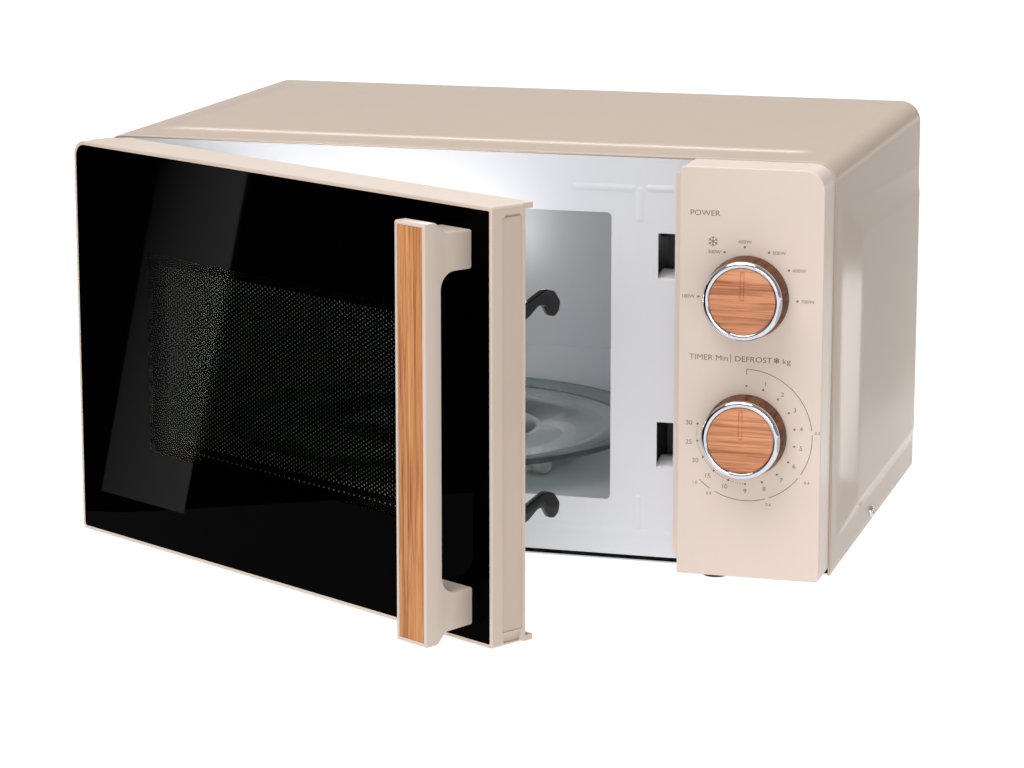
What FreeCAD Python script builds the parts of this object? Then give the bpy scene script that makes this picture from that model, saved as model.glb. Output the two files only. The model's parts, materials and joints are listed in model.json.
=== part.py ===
import FreeCAD, Part

import math
import os
from types import SimpleNamespace

import Sketcher
from FreeCAD import Placement, Rotation, Vector

# A compact microwave oven with its door ajar. Every piece is drawn in cabinet coordinates, in
# millimetres: x from the centre plane to the right, y back from the front plate's painted face,
# z up from the soles of the feet. Door pieces are drawn with the door closed. The sub-part's
# placement then moves it into the model's frame, and a door piece also turns about the hinge.

DIMENSIONS = {
    # where the front plate's face stands in the model's frame, and how far the door is open
    "front_shift": -34.4,
    "door_open_angle": 30.2,
    # outer cover
    "cover_side": 226.0,
    "cover_top": 255.0,
    "cover_bottom": 11.5,
    "cover_depth": 298.0,
    "cover_sheet": 1.0,
    "cover_corner": 13.0,
    "side_raise": 3.8,
    "top_raise": 1.0,
    # base, rear and feet
    "base_level": 11.8,
    "sheet": 0.8,
    "rear_face": 296.0,
    "foot_radius": 8.0,
    "foot_spread": 152.0,
    "foot_front": 27.0,
    "foot_rear": 262.0,
    # front plate, its mouth and the two latch slots
    "plate_side": 224.8,
    "plate_bottom": 15.3,
    "plate_top": 253.8,
    "plate_sheet": 1.0,
    "mouth_left": -205.0,
    "mouth_right": 93.3,
    "mouth_bottom": 48.4,
    "mouth_top": 220.8,
    "mouth_corner": 3.0,
    "slot_left": 121.4,
    "slot_right": 131.5,
    "slot_bottom": 182.5,
    "slot_tall": 27.3,
    "hook_spacing": 112.6,
    # cooking cavity and turntable
    "cavity_left": -209.0,
    "cavity_right": 97.0,
    "cavity_floor": 38.0,
    "cavity_ceiling": 232.0,
    "cavity_rear": 284.0,
    "turntable_x": -56.0,
    "turntable_y": 141.0,
    "tray_radius": 135.0,
    "tray_underside": 51.4,
    "tray_thickness": 4.5,
    "wheel_radius": 6.4,
    "wheel_path": 94.0,
    "wheel_axle": 1.5,
    # control panel and its two dials
    "panel_left": 141.1,
    "panel_right": 225.1,
    "panel_bottom": 14.9,
    "panel_top": 254.4,
    "panel_depth": 30.0,
    "panel_wall": 2.5,
    "panel_corner": 12.0,
    "dial_x": 181.3,
    "power_dial_level": 180.3,
    "timer_dial_level": 99.6,
    "knob_gap": 1.0,
    "knob_base": 24.2,
    "knob_rim": 22.9,
    "knob_body_tall": 12.4,
    "ring_bore": 19.3,
    "ring_tall": 2.8,
    "shaft_radius": 3.0,
    "running_gap": 0.05,
    # door, closed
    "door_left": -226.1,
    "door_right": 140.1,
    "door_bottom": 14.0,
    "door_top": 254.4,
    "door_front": -30.9,
    "door_rear": -6.4,
    "door_wall": 3.0,
    "glass_rim": 2.1,
    "glass_thick": 4.0,
    "web_thick": 2.5,
    "hinge_x": -218.0,
    "hinge_y": -11.33,
    "pin_radius": 3.0,
    # handle, on the closed door
    "handle_left": 100.9,
    "handle_right": 124.8,
    "handle_bottom": 18.2,
    "handle_top": 247.4,
    "handle_front": -64.9,
    "handle_bar": 12.0,
    "inlay_thick": 1.5,
}

TURN = {"X": Rotation(Vector(0, 1, 0), 90), "Y": Rotation(Vector(1, 0, 0), -90), "Z": Rotation()}
FULL_TURN = 360

doc = FreeCAD.newDocument("microwave_oven")
sheet = doc.addObject("Spreadsheet::Sheet", "dims")
subparts = []


class Size:
    """A length with the formula on the sheet that gives it."""

    def __init__(self, value, formula=None):
        self.value = value
        self.formula = formula or f"({value})"

    def joined(self, other, sign, value):
        return Size(value, f"({self.formula} {sign} {other.formula})")

    def __add__(self, other):
        other = as_size(other)
        return self.joined(other, "+", self.value + other.value)

    def __sub__(self, other):
        other = as_size(other)
        return self.joined(other, "-", self.value - other.value)

    def __mul__(self, other):
        other = as_size(other)
        return self.joined(other, "*", self.value * other.value)

    def __neg__(self):
        return Size(-self.value, f"(0 - {self.formula})")

    __radd__ = __add__

    def __rsub__(self, other):
        return as_size(other) - self


def as_size(number):
    return number if isinstance(number, Size) else Size(float(number))


def fill_sheet():
    for row, (alias, value) in enumerate(DIMENSIONS.items(), 1):
        sheet.set(f"A{row}", alias)
        sheet.set(f"B{row}", str(value))
        sheet.setAlias(f"B{row}", alias)
    doc.recompute()
    return SimpleNamespace(**{k: Size(v, f"dims.{k}") for k, v in DIMENSIONS.items()})


d = fill_sheet()


def bind(thing, path, size):
    thing.setExpression(path, as_size(size).formula)


def bind_base(thing, point, path="Placement"):
    for axis, size in zip("xyz", point):
        bind(thing, f"{path}.Base.{axis}", size)


# ---------------------------------------------------------------- primitives and booleans


def box(name, x, y, z):
    """A block between a low and a high plane on each axis."""
    block = doc.addObject("Part::Box", name)
    for path, (low, high) in zip(("Length", "Width", "Height"), (x, y, z)):
        bind(block, path, as_size(high) - low)
    bind_base(block, (x[0], y[0], z[0]))
    return block


def rod(name, start, radius, length, axis="Z"):
    """A cylinder that starts at a point and runs along an axis."""
    cylinder = doc.addObject("Part::Cylinder", name)
    cylinder.Placement = Placement(Vector(), TURN[axis])
    bind(cylinder, "Radius", radius)
    bind(cylinder, "Height", length)
    bind_base(cylinder, start)
    return cylinder


def taper(name, start, low_radius, high_radius, length, axis="Z"):
    cone = doc.addObject("Part::Cone", name)
    cone.Placement = Placement(Vector(), TURN[axis])
    bind(cone, "Radius1", low_radius)
    bind(cone, "Radius2", high_radius)
    bind(cone, "Height", length)
    bind_base(cone, start)
    return cone


def fuse(name, *shapes):
    union = doc.addObject("Part::MultiFuse", name)
    union.Shapes = list(shapes)
    return union


def group(name, shapes):
    """Separate solids kept together."""
    compound = doc.addObject("Part::Compound", name)
    compound.Links = list(shapes)
    return compound


def cut(name, base, *tools):
    result = doc.addObject("Part::Cut", name)
    result.Base = base
    result.Tool = tools[0] if len(tools) == 1 else group(name + "_tools", tools)
    return result


def rounded(name, base, radius, wanted):
    """Fillets the edges that `wanted` picks by their middle point and direction."""
    doc.recompute()
    picks = [i for i, edge in enumerate(base.Shape.Edges, 1) if wanted(*middle_and_run(edge))]
    result = doc.addObject("Part::Fillet", name)
    result.Base = base
    result.Edges = [(i, as_size(radius).value, as_size(radius).value) for i in picks]
    return result


def middle_and_run(edge):
    """An edge's middle, and its straight direction with no sign (zero for a closed edge)."""
    ends = [vertex.Point for vertex in edge.Vertexes]
    run = ends[-1] - ends[0] if len(ends) == 2 else Vector()
    size = max(run.Length, 1e-9)
    return edge.CenterOfMass, Vector(abs(run.x) / size, abs(run.y) / size, abs(run.z) / size)


# ---------------------------------------------------------------- bodies and sketches


def new_body(name):
    return doc.addObject("PartDesign::Body", name)


def new_sketch(body, name, plane="XZ", level=0):
    """A sketch on one of the body's own planes, moved along +X, +Y or +Z to `level`."""
    sketch = body.newObject("Sketcher::SketchObject", name)
    role = f"{plane}_Plane"
    support = next(f for f in body.Origin.OriginFeatures if f.Role == role)
    sketch.AttachmentSupport = [(support, "")]
    sketch.MapMode = "FlatFace"
    offset = -as_size(level) if plane == "XZ" else as_size(level)
    bind(sketch, "AttachmentOffset.Base.z", offset)
    return sketch


def hold(sketch, geometry, vertex, x=None, y=None):
    """Ties a sketch point to its distances from the origin."""
    for kind, axis, size in (("DistanceX", -2, x), ("DistanceY", -1, y)):
        if size is None:
            continue
        size = as_size(size)
        if abs(size.value) < 1e-9:
            sketch.addConstraint(Sketcher.Constraint("PointOnObject", geometry, vertex, axis))
            continue
        rule = Sketcher.Constraint(kind, -1, 1, geometry, vertex, size.value)
        bind(sketch, f"Constraints[{sketch.addConstraint(rule)}]", size)


def polygon(sketch, points):
    first = sketch.GeometryCount
    points = [(as_size(a), as_size(b)) for a, b in points]
    corners = [Vector(a.value, b.value) for a, b in points]
    for start, end in zip(corners, corners[1:] + corners[:1]):
        sketch.addGeometry(Part.LineSegment(start, end))
    for i, (a, b) in enumerate(points):
        after = first + (i + 1) % len(points)
        sketch.addConstraint(Sketcher.Constraint("Coincident", first + i, 2, after, 1))
        hold(sketch, first + i, 1, a, b)


def circle(sketch, x, y, radius):
    x, y, radius = as_size(x), as_size(y), as_size(radius)
    ring = Part.Circle(Vector(x.value, y.value), Vector(0, 0, 1), radius.value)
    index = sketch.addGeometry(ring)
    rule = sketch.addConstraint(Sketcher.Constraint("Radius", index, radius.value))
    bind(sketch, f"Constraints[{rule}]", radius)
    hold(sketch, index, 3, x, y)


def rectangle(sketch, x, y, radii=(0, 0, 0, 0)):
    """A rectangle between two pairs of limits; radii go anticlockwise from its lower left."""
    left, right = as_size(x[0]), as_size(x[1])
    bottom, top = as_size(y[0]), as_size(y[1])
    radii = [as_size(r) for r in radii]
    corners = [Vector(h.value, v.value) for h, v in
               ((left, bottom), (right, bottom), (right, top), (left, top))]
    runs = [Vector(1, 0), Vector(0, 1), Vector(-1, 0), Vector(0, -1)]
    starts = [c + run * r.value for c, run, r in zip(corners, runs, radii)]
    ends = [c - runs[i - 1] * r.value for i, (c, r) in enumerate(zip(corners, radii))]
    lines = [sketch.addGeometry(Part.LineSegment(starts[i], ends[(i + 1) % 4])) for i in range(4)]
    for i, radius in enumerate(radii):
        if radius.value == 0:
            joint = Sketcher.Constraint("Coincident", lines[i - 1], 2, lines[i], 1)
            sketch.addConstraint(joint)
            continue
        centre = ends[i] + runs[i] * radius.value
        begin = math.radians(180 + 90 * i)
        arc = Part.ArcOfCircle(Part.Circle(centre, Vector(0, 0, 1), radius.value),
                               begin, begin + math.pi / 2)
        index = sketch.addGeometry(arc)
        sketch.addConstraint(Sketcher.Constraint("Tangent", lines[i - 1], 2, index, 1))
        sketch.addConstraint(Sketcher.Constraint("Tangent", index, 2, lines[i], 1))
        rule = sketch.addConstraint(Sketcher.Constraint("Radius", index, radius.value))
        bind(sketch, f"Constraints[{rule}]", radius)
    for line, kind in zip(lines, ("Horizontal", "Vertical", "Horizontal", "Vertical")):
        sketch.addConstraint(Sketcher.Constraint(kind, line))
    hold(sketch, lines[0], 1, y=bottom)
    hold(sketch, lines[1], 1, x=right)
    hold(sketch, lines[2], 1, y=top)
    hold(sketch, lines[3], 1, x=left)


def extrude(body, sketch, length, cutting=False):
    """Pads or pockets a sketch towards +X, +Y or +Z."""
    kind = "PartDesign::Pocket" if cutting else "PartDesign::Pad"
    feature = body.newObject(kind, sketch.Name + ("_pocket" if cutting else "_pad"))
    feature.Profile = sketch
    bind(feature, "Length", length)
    normal_is_back = sketch.AttachmentSupport[0][0].Role == "XZ_Plane"
    feature.Reversed = normal_is_back != cutting
    return feature


def plate(name, draw, start, end, plane="XZ"):
    """A body padded from one level to another, of whatever `draw` puts in its sketch."""
    body = new_body(name)
    sketch = new_sketch(body, name + "_outline", plane, start)
    draw(sketch)
    extrude(body, sketch, as_size(end) - start)
    return body


def pocketed(body, name, draw, start, end, plane="XZ"):
    """Cuts what `draw` sketches out of a body between two levels, and checks that it bit."""
    doc.recompute()
    before = body.Shape.Volume
    sketch = new_sketch(body, name, plane, start)
    draw(sketch)
    extrude(body, sketch, as_size(end) - start, cutting=True)
    doc.recompute()
    if body.Shape.Volume > before - 1e-6:
        raise RuntimeError(f"{name} cut nothing")
    return body


def turned(name, points):
    """A body of revolution about its own Z axis, from a profile of (radius, height) points."""
    body = new_body(name)
    sketch = new_sketch(body, name + "_profile")
    polygon(sketch, points)
    feature = body.newObject("PartDesign::Revolution", name + "_turn")
    feature.Profile = sketch
    feature.ReferenceAxis = (sketch, ["V_Axis"])
    feature.Angle = FULL_TURN
    return body


def softened(body, name, radius, wanted):
    """Fillets a body's edges that `wanted` picks by middle point and direction."""
    doc.recompute()
    tip = body.Tip
    names = [f"Edge{i}" for i, edge in enumerate(tip.Shape.Edges, 1)
             if wanted(*middle_and_run(edge))]
    feature = body.newObject("PartDesign::Fillet", name)
    feature.Base = (tip, names)
    bind(feature, "Radius", radius)
    return body


# ---------------------------------------------------------------- placing the sub-parts


def named(label, thing):
    """Names a finished sub-part, and wraps a plain solid so that its own placement is kept."""
    if thing.TypeId in ("Part::Box", "Part::Cylinder", "Part::Cone"):
        thing = group(label + "_solid", [thing])
    thing.Label = label
    subparts.append(thing)
    return thing


def subpart(label, thing, at=(0, 0, 0), rotation=None):
    """Moves a finished sub-part from cabinet coordinates into the model's frame."""
    thing = named(label, thing)
    thing.Placement = Placement(Vector(), rotation or Rotation())
    x, y, z = (as_size(size) for size in at)
    bind_base(thing, (x, d.front_shift + y, z))


def door_subpart(label, thing):
    """The same for a piece drawn on the closed door: it swings with the door."""
    thing = named(label, thing)
    angle = "dims.door_open_angle"
    thing.Placement = Placement(Vector(), Rotation(Vector(0, 0, -1), d.door_open_angle.value))
    thing.setExpression("Placement.Base.x",
                        f"dims.hinge_x * (1 - cos({angle})) - dims.hinge_y * sin({angle})")
    thing.setExpression("Placement.Base.y", "dims.front_shift + dims.hinge_y"
                        f" * (1 - cos({angle})) + dims.hinge_x * sin({angle})")
    thing.setExpression("Placement.Rotation.Angle", angle)


# ---------------------------------------------------------------- cabinet


def shape_wedge(wedge, foot, crest, height):
    """Sizes a frustum from its foot's and its crest's limits."""
    limits = {"Xmin": foot[0][0], "Xmax": foot[0][1], "Zmin": foot[1][0], "Zmax": foot[1][1],
              "X2min": crest[0][0], "X2max": crest[0][1], "Z2min": crest[1][0],
              "Z2max": crest[1][1], "Ymin": 0, "Ymax": height}
    for path, size in limits.items():
        bind(wedge, path, size)


def side_bulge(name, side, inset):
    """The raised field pressed out of one side, a low frustum standing on the sheet."""
    field = doc.addObject("Part::Wedge", name)
    face = d.cover_side - inset
    foot_y, crest_y = (21, 292), (72, 279)
    foot_z, crest_z = (29, 228), (40, 205)
    if side > 0:
        foot_y = (-foot_y[1], -foot_y[0])
        crest_y = (-crest_y[1], -crest_y[0])
    shape_wedge(field, (foot_y, foot_z), (crest_y, crest_z), d.side_raise)
    field.Placement = Placement(Vector(), Rotation(Vector(0, 0, 1), -90 * side))
    bind_base(field, (face if side > 0 else -face, 0, 0))
    return field


def top_field(name, inset):
    """The wide low field pressed up out of the top."""
    field = doc.addObject("Part::Wedge", name)
    ramp = 7
    half_width, near, far = 206, 33, 285
    foot = ((-half_width, half_width), (-far, -near))
    crest = ((ramp - half_width, half_width - ramp), (ramp - far, -near - ramp))
    shape_wedge(field, foot, crest, d.top_raise)
    field.Placement = Placement(Vector(), Rotation(Vector(1, 0, 0), 90))
    bind_base(field, (0, 0, d.cover_top - inset))
    return field


def cover_form(name, inset, overrun):
    """The cover's solid form, set in by the sheet's thickness for its inside."""
    side = d.cover_side - inset
    start = -as_size(overrun)

    def section(sketch):
        radius = d.cover_corner - inset
        rectangle(sketch, (-side, side), (d.cover_bottom - overrun, d.cover_top - inset),
                  (0, 0, radius, radius))

    block = plate(name + "_block", section, start, d.cover_depth + overrun)
    return fuse(name, block, side_bulge(name + "_right", 1, inset),
                side_bulge(name + "_left", -1, inset), top_field(name + "_top", inset))


def make_outer_cover():
    outside = cover_form("cover_outside", as_size(0), 0)
    inside = cover_form("cover_inside", d.cover_sheet, 2)
    subpart("outer_cover", cut("outer_cover", outside, inside))


def make_base_plate():
    low = d.base_level
    floor = box("base_sheet", (-d.plate_side, d.plate_side), (1.2, d.rear_face - 0.2),
                (low, low + d.sheet))
    trough = box("base_trough", (56, 93), (22, 62), (7, low + 0.4))
    hollow = box("base_trough_hollow", (57, 92), (23, 61), (8, low + 2))
    slots = [box(f"base_vent_{i}", (110 + 9 * i, 114 + 9 * i), (190, 225), (low - 1, low + 2))
             for i in range(8)]
    subpart("base_plate", cut("base_plate", fuse("base_form", floor, trough), hollow, *slots))


def make_rear_panel():
    """The flat back, with a vent field behind the fan and a hole for the cord's gland."""

    def outline(sketch):
        rectangle(sketch, (-d.plate_side, d.plate_side), (13, d.plate_top), (0, 0, 11.8, 11.8))
        circle(sketch, 185, 48, 8)
        for column in range(6):
            for row in range(5):
                left, low = 130 + 14 * column, 130 + 17 * row
                rectangle(sketch, (left, left + 4), (low, low + 12))

    subpart("rear_panel", plate("rear_panel", outline, d.rear_face, d.rear_face + d.sheet))


def make_feet():
    feet = []
    for side in (-1, 1):
        for name, depth in (("front", d.foot_front), ("rear", d.foot_rear)):
            place = (d.foot_spread * side, depth, 0)
            feet.append(taper(f"foot_{name}_{side + 1}", place, d.foot_radius - 0.6,
                              d.foot_radius, d.base_level))
    subpart("feet", group("feet", feet))


def make_front_plate():
    """The white plate: the oven's mouth, the two latch slots and the dials' shaft holes."""
    corner = d.mouth_corner

    def outline(sketch):
        rectangle(sketch, (-d.plate_side, d.plate_side), (d.plate_bottom, d.plate_top),
                  (0, 0, 11.8, 11.8))
        rectangle(sketch, (d.mouth_left, d.mouth_right), (d.mouth_bottom, d.mouth_top),
                  (corner, corner, corner, corner))
        for drop in (as_size(0), d.hook_spacing):
            low = d.slot_bottom - drop
            rectangle(sketch, (d.slot_left, d.slot_right), (low, low + d.slot_tall))
        circle(sketch, d.dial_x, d.power_dial_level, 8)
        circle(sketch, d.dial_x, d.timer_dial_level, 8)

    subpart("front_plate", plate("front_plate", outline, 0, d.plate_sheet))


def make_cavity():
    thick = d.sheet
    front, rear = d.plate_sheet, d.cavity_rear
    low, high = d.cavity_floor - thick, d.cavity_ceiling
    depth, tall = (front, rear), (low, high)
    left = box("cavity_left_wall", (d.cavity_left - thick, d.cavity_left), depth, tall)
    right = box("cavity_right_wall", (d.cavity_right, d.cavity_right + thick), depth, tall)
    roof = box("cavity_roof", (d.cavity_left - thick, d.cavity_right + thick), depth,
               (high, high + thick))
    feed = box("microwave_feed", (d.cavity_right - 1, d.cavity_right + 2), (110, 176), (128, 186))
    lamp_holes = [rod(f"lamp_hole_{i}", (d.cavity_right - 1, 56 + 6 * i, 205), 2, 3, "X")
                  for i in range(4)]
    wrap = fuse("cavity_wrap_form", left, right, roof)
    subpart("cavity_wrap", cut("cavity_wrap", wrap, feed, *lamp_holes))

    def floor(sketch):
        rectangle(sketch, (d.cavity_left, d.cavity_right), (front, rear))
        circle(sketch, d.turntable_x, d.turntable_y, 7)

    subpart("cavity_floor", plate("cavity_floor", floor, low, d.cavity_floor, "XY"))
    sheet_back = box("cavity_rear_sheet", (d.cavity_left, d.cavity_right), (rear, rear + thick),
                     (low, high))
    upstand = box("cavity_rear_upstand", (d.cavity_left, d.cavity_right), (rear - 1.2, rear),
                  (d.cavity_floor, 82))
    subpart("cavity_back", fuse("cavity_back", sheet_back, upstand))


def make_waveguide():
    left = d.cavity_right + d.sheet
    duct = box("waveguide_duct", (left, left + 22), (96, 190), (118, 226))
    hollow = box("waveguide_hollow", (left - 1, left + 21), (97, 189), (119, 225))
    port = rod("waveguide_port", (left + 19, 143, 205), 8.5, 5, "X")
    subpart("waveguide", cut("waveguide", duct, hollow, port))
    face = d.cavity_right
    mica = box("mica_sheet", (face - 0.9, face - 0.1), (104, 182), (122, 192))
    subpart("waveguide_cover", mica)


# ---------------------------------------------------------------- control panel


def make_control_panel():
    wall = d.panel_wall
    front = -d.panel_depth

    def outline(sketch):
        rectangle(sketch, (d.panel_left, d.panel_right), (d.panel_bottom, d.panel_top),
                  (1, 2, d.panel_corner, 3))

    def hollow(sketch):
        rectangle(sketch, (d.panel_left + wall, d.panel_right - wall),
                  (d.panel_bottom + wall, d.panel_top - wall), (1, 1, d.panel_corner - wall, 1))

    def shaft_holes(sketch):
        circle(sketch, d.dial_x, d.power_dial_level, 5)
        circle(sketch, d.dial_x, d.timer_dial_level, 5)

    body = plate("panel_shell", outline, front, 0)
    softened(body, "panel_front_edge", 0.8, lambda middle, run: middle.y < front.value + 0.01)
    pocketed(body, "panel_hollow", hollow, front + wall, 1)
    pocketed(body, "panel_shaft_holes", shaft_holes, front - 1, front + wall + 1)
    lip = box("panel_lip", (d.panel_left - 9, d.panel_left + 0.5), (-1.2, 0), (18, 246))
    subpart("control_panel", fuse("control_panel_form", body, lip))


def dial_place(level, depth):
    """The point on a dial's axis at a distance ahead of the front plate."""
    return (d.dial_x, -as_size(depth), level)


def make_knob(name, level):
    """Knob body, chrome ring, wood cap and shaft. Each is turned about an axis that points out."""
    outward = Rotation(Vector(1, 0, 0), 90)
    base = d.panel_depth + d.knob_gap
    tall = d.knob_body_tall
    bore = d.shaft_radius
    skirt = turned(f"{name}_skirt", [
        (bore, 1), (bore + 4, 1), (bore + 4, tall - 3), (d.knob_rim - 2, tall - 3),
        (d.knob_base - 2, 0), (d.knob_base, 0), (d.knob_rim, tall), (bore, tall)])
    subpart(f"{name}_knob_body", skirt, dial_place(level, base), outward)
    rim, hole, high = d.knob_rim, d.ring_bore, d.ring_tall
    ring = turned(f"{name}_ring", [
        (hole, 0), (rim, 0), (rim, high * 0.4), (rim - 0.5, high * 0.8), (rim - 1.3, high),
        (hole + 1.1, high), (hole, high * 0.75)])
    subpart(f"{name}_knob_ring", ring, dial_place(level, base + tall), outward)
    disc = rod(f"{name}_disc", (0, 0, 0), hole - 0.1, high * 0.8)
    groove = box(f"{name}_groove", (-1.2, 1.2), (1, hole - 2), (high * 0.8 - 0.5, high))
    cap = cut(f"{name}_cap", disc, groove)
    subpart(f"{name}_knob_cap", cap, dial_place(level, base + tall), outward)
    shaft = rod(f"{name}_dial_rod", dial_place(level, base + tall), bore, base + tall + 9, "Y")
    subpart(f"{name}_shaft", shaft)


def make_power_selector():
    x, z = d.dial_x, d.power_dial_level
    case = box("selector_case", (x - 20, x + 20), (1, 24), (z - 17, z + 17))
    tabs = [box(f"selector_tab_{i}", (x - 14 + 12 * i, x - 8 + 12 * i), (24, 32), (z - 1, z))
            for i in range(3)]
    bore = rod("selector_bore", (x, 0, z), d.shaft_radius + d.running_gap, 10, "Y")
    subpart("power_selector", cut("power_selector", fuse("selector_form", case, *tabs), bore))


def make_timer_unit():
    x, z = d.dial_x, d.timer_dial_level
    case = box("timer_case", (x - 24, x + 24), (1, 30), (z - 25, z + 25))
    tabs = [box(f"timer_tab_{i}", (x - 18 + 14 * i, x - 12 + 14 * i), (8, 14), (z - 33, z - 25))
            for i in range(3)]
    stem = rod("timer_stem", (x, 30, z), 3, 12, "Y")
    bore = rod("timer_bore", (x, 0, z), d.shaft_radius + d.running_gap, 10, "Y")
    subpart("timer_unit", cut("timer_unit", fuse("timer_form", case, stem, *tabs), bore))
    bell = turned("timer_bell", [(0, 0), (6, 0), (16, 3), (18, 9), (17, 9), (15, 4), (6, 1), (0, 1)])
    subpart("timer_bell", bell, (x, as_size(43), z), Rotation(Vector(1, 0, 0), 90))


# ---------------------------------------------------------------- door


def make_door_frame():
    """The moulded frame: rim round the glass, web behind it, four walls and two hinge bosses."""
    left, right = d.door_left, d.door_right
    low, high = d.door_bottom, d.door_top
    front, rear, wall = d.door_front, d.door_rear, d.door_wall
    rim = d.glass_rim
    web_front = front + d.glass_thick
    web_back = web_front + d.web_thick
    lap_left, lap_back = -211, -1

    def outline(sketch):
        rectangle(sketch, (left, right), (low, high), (3.5, 2, 2, 9))

    def glass_seat(sketch):
        rectangle(sketch, (left + rim, right - rim), (low + rim, high - rim), (2, 1, 1, 7.5))

    def back_hollow(sketch):
        rectangle(sketch, (left + wall, right - wall), (low + wall, high - wall))

    def window(sketch):
        rectangle(sketch, (-186, 100), (60, 208))

    body = plate("door_shell", outline, front, rear)
    softened(body, "door_front_edge", 0.7, lambda middle, run: middle.y < front.value + 0.01)
    pocketed(body, "door_glass_seat", glass_seat, front - 1, web_front)
    pocketed(body, "door_back_hollow", back_hollow, web_back, rear + 1)
    pocketed(body, "door_window", window, web_front - 1, web_back + 1)
    top_lap = box("door_top_lap", (lap_left, right), (rear - 1, lap_back), (high - wall, high))
    bottom_lap = box("door_bottom_lap", (lap_left, right), (rear - 1, lap_back), (low, low + wall))
    bosses = [box("door_top_boss", (left + 1, -212), (-18, rear), (246, high - 1)),
              box("door_bottom_boss", (left + 1, -212), (-18, rear), (low + 1, 27))]
    shell = fuse("door_solid", body, top_lap, bottom_lap, *bosses)
    pin = (d.hinge_x, d.hinge_y)
    bores = [rod("door_top_bore", (*pin, 245), d.pin_radius + d.running_gap, 6.4),
             rod("door_bottom_bore", (*pin, 12), d.pin_radius + d.running_gap, 12)]
    hinge_notch = box("door_hinge_notch", (left - 1, -212), (-19, rear + 1), (242.6, 246))
    label_field = box("door_label_field", (right - 0.7, right + 1), (-23.2, -8.5), (21.5, 248))
    slit = box("door_slit", (right - 2, right + 1), (-21.5, -10), (248, 249.4))
    notch = box("door_notch", (right - 1.4, right + 1), (-22.6, -10.4), (15.5, 20))
    screws = [rod(f"door_screw_hole_{i}", (112.9, web_front - 1, level), 2.1, 6, "Y")
              for i, level in enumerate((35.5, 230.6))]
    frame = cut("door_frame", shell, *bores, hinge_notch, label_field, slit, notch, *screws)
    door_subpart("door_frame", frame)


def make_door_glass():
    rim = d.glass_rim + 0.1
    low, high = d.door_bottom, d.door_top

    def outline(sketch):
        rectangle(sketch, (d.door_left + rim, d.door_right - rim), (low + rim, high - rim),
                  (2, 1, 1, 7.5))
        for level in (35.5, 230.6):
            circle(sketch, 112.9, level, 2.1)

    glass = plate("door_glass", outline, d.door_front, d.door_front + d.glass_thick)
    door_subpart("door_glass", glass)


def make_door_insides():
    """Perforated steel pan, choke cover with its latch slots, and the clear inner window."""
    pan_front = d.door_front + d.glass_thick + d.web_thick
    pan_back = -8.6
    thick = d.sheet
    left, right, low, high = -205, 106, 28, 240
    outer = box("pan_outer", (left, right), (pan_front, pan_back), (low, high))
    inner = box("pan_inner", (left + thick, right - thick), (pan_front + thick, 0),
                (low + thick, high - thick))
    door_subpart("door_screen", cut("door_screen", outer, inner))
    lap = 0.3
    low, high = d.door_bottom + d.door_wall + lap, d.door_top - d.door_wall - lap

    def outline(sketch):
        rectangle(sketch, (-208, d.door_right - d.door_wall - lap), (low, high))
        rectangle(sketch, (-172, 88), (62, 206))
        for drop in (as_size(0), d.hook_spacing):
            rectangle(sketch, (122, 129.2), (as_size(181) - drop, as_size(202) - drop))

    cover = plate("choke_cover", outline, -7.8, -4.8)
    door_subpart("choke_cover", cover)
    window = box("clear_window", (-178, 94), (-8.6, -7.8), (56, 212))
    door_subpart("inner_window", window)


def make_handle():
    left, right = d.handle_left, d.handle_right
    low, high = d.handle_bottom, d.handle_top
    front, bar = d.handle_front, d.handle_front + d.handle_bar
    glass = d.door_front

    def section(sketch):
        polygon(sketch, [(front, low), (bar, low), (bar, 25.1), (glass, 25.1), (glass, 45.8),
                         (bar, 45.8), (bar, 220.2), (glass, 220.2), (glass, 241.1),
                         (bar, 241.1), (bar, high), (front, high)])

    def inlay_seat(sketch):
        rectangle(sketch, (left + 2.4, right - 1.9), (low + 2.4, high - 1.9))

    body = plate("handle_bow", section, left, right, "YZ")
    inner = (45.8, 220.2)
    softened(body, "handle_inner_bends", 9, lambda middle, run: run.x > 0.99
             and abs(middle.y - bar.value) < 0.01 and min(abs(middle.z - z) for z in inner) < 0.01)
    softened(body, "handle_long_edges", 1.2, lambda middle, run: run.z > 0.99
             and middle.y < bar.value + 0.01)
    pocketed(body, "handle_inlay_seat", inlay_seat, front - 1, front + d.inlay_thick)
    shanks = [rod(f"handle_screw_shank_{i}", (112.9, -46, level), 2, 22, "Y")
              for i, level in enumerate((35.5, 230.6))]
    door_subpart("handle_body", cut("handle_body_form", body, *shanks))

    def strip(sketch):
        rectangle(sketch, (left + 2.5, right - 2), (low + 2.5, high - 2))

    door_subpart("handle_inlay", plate("handle_inlay", strip, front, front + d.inlay_thick))
    web_back = d.door_front + d.glass_thick + d.web_thick
    heads = [rod(f"handle_screw_head_{i}", (112.9, web_back, level), 4, 1.8, "Y")
             for i, level in enumerate((35.5, 230.6))]
    shafts = [rod(f"handle_screw_{i}", (112.9, -46, level), 2, web_back + 46.5, "Y")
              for i, level in enumerate((35.5, 230.6))]
    screws = [fuse(f"handle_screw_solid_{i}", *pair) for i, pair in enumerate(zip(shafts, heads))]
    door_subpart("handle_screws", group("handle_screws", screws))


def hook_outline(sketch, drop):
    """An arm that climbs as it goes back, and a head that hooks down behind the keeper."""
    points = [(-14, 184.5), (-4, 185.6), (8, 188.4), (16, 194.2), (20.5, 193.8), (24.5, 187.6),
              (28.1, 187), (31.4, 189.5), (32.6, 195.1), (28, 201.2), (21.2, 203), (8, 197.2),
              (-14, 197)]
    polygon(sketch, [(y, as_size(z) - drop) for y, z in points])


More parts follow.
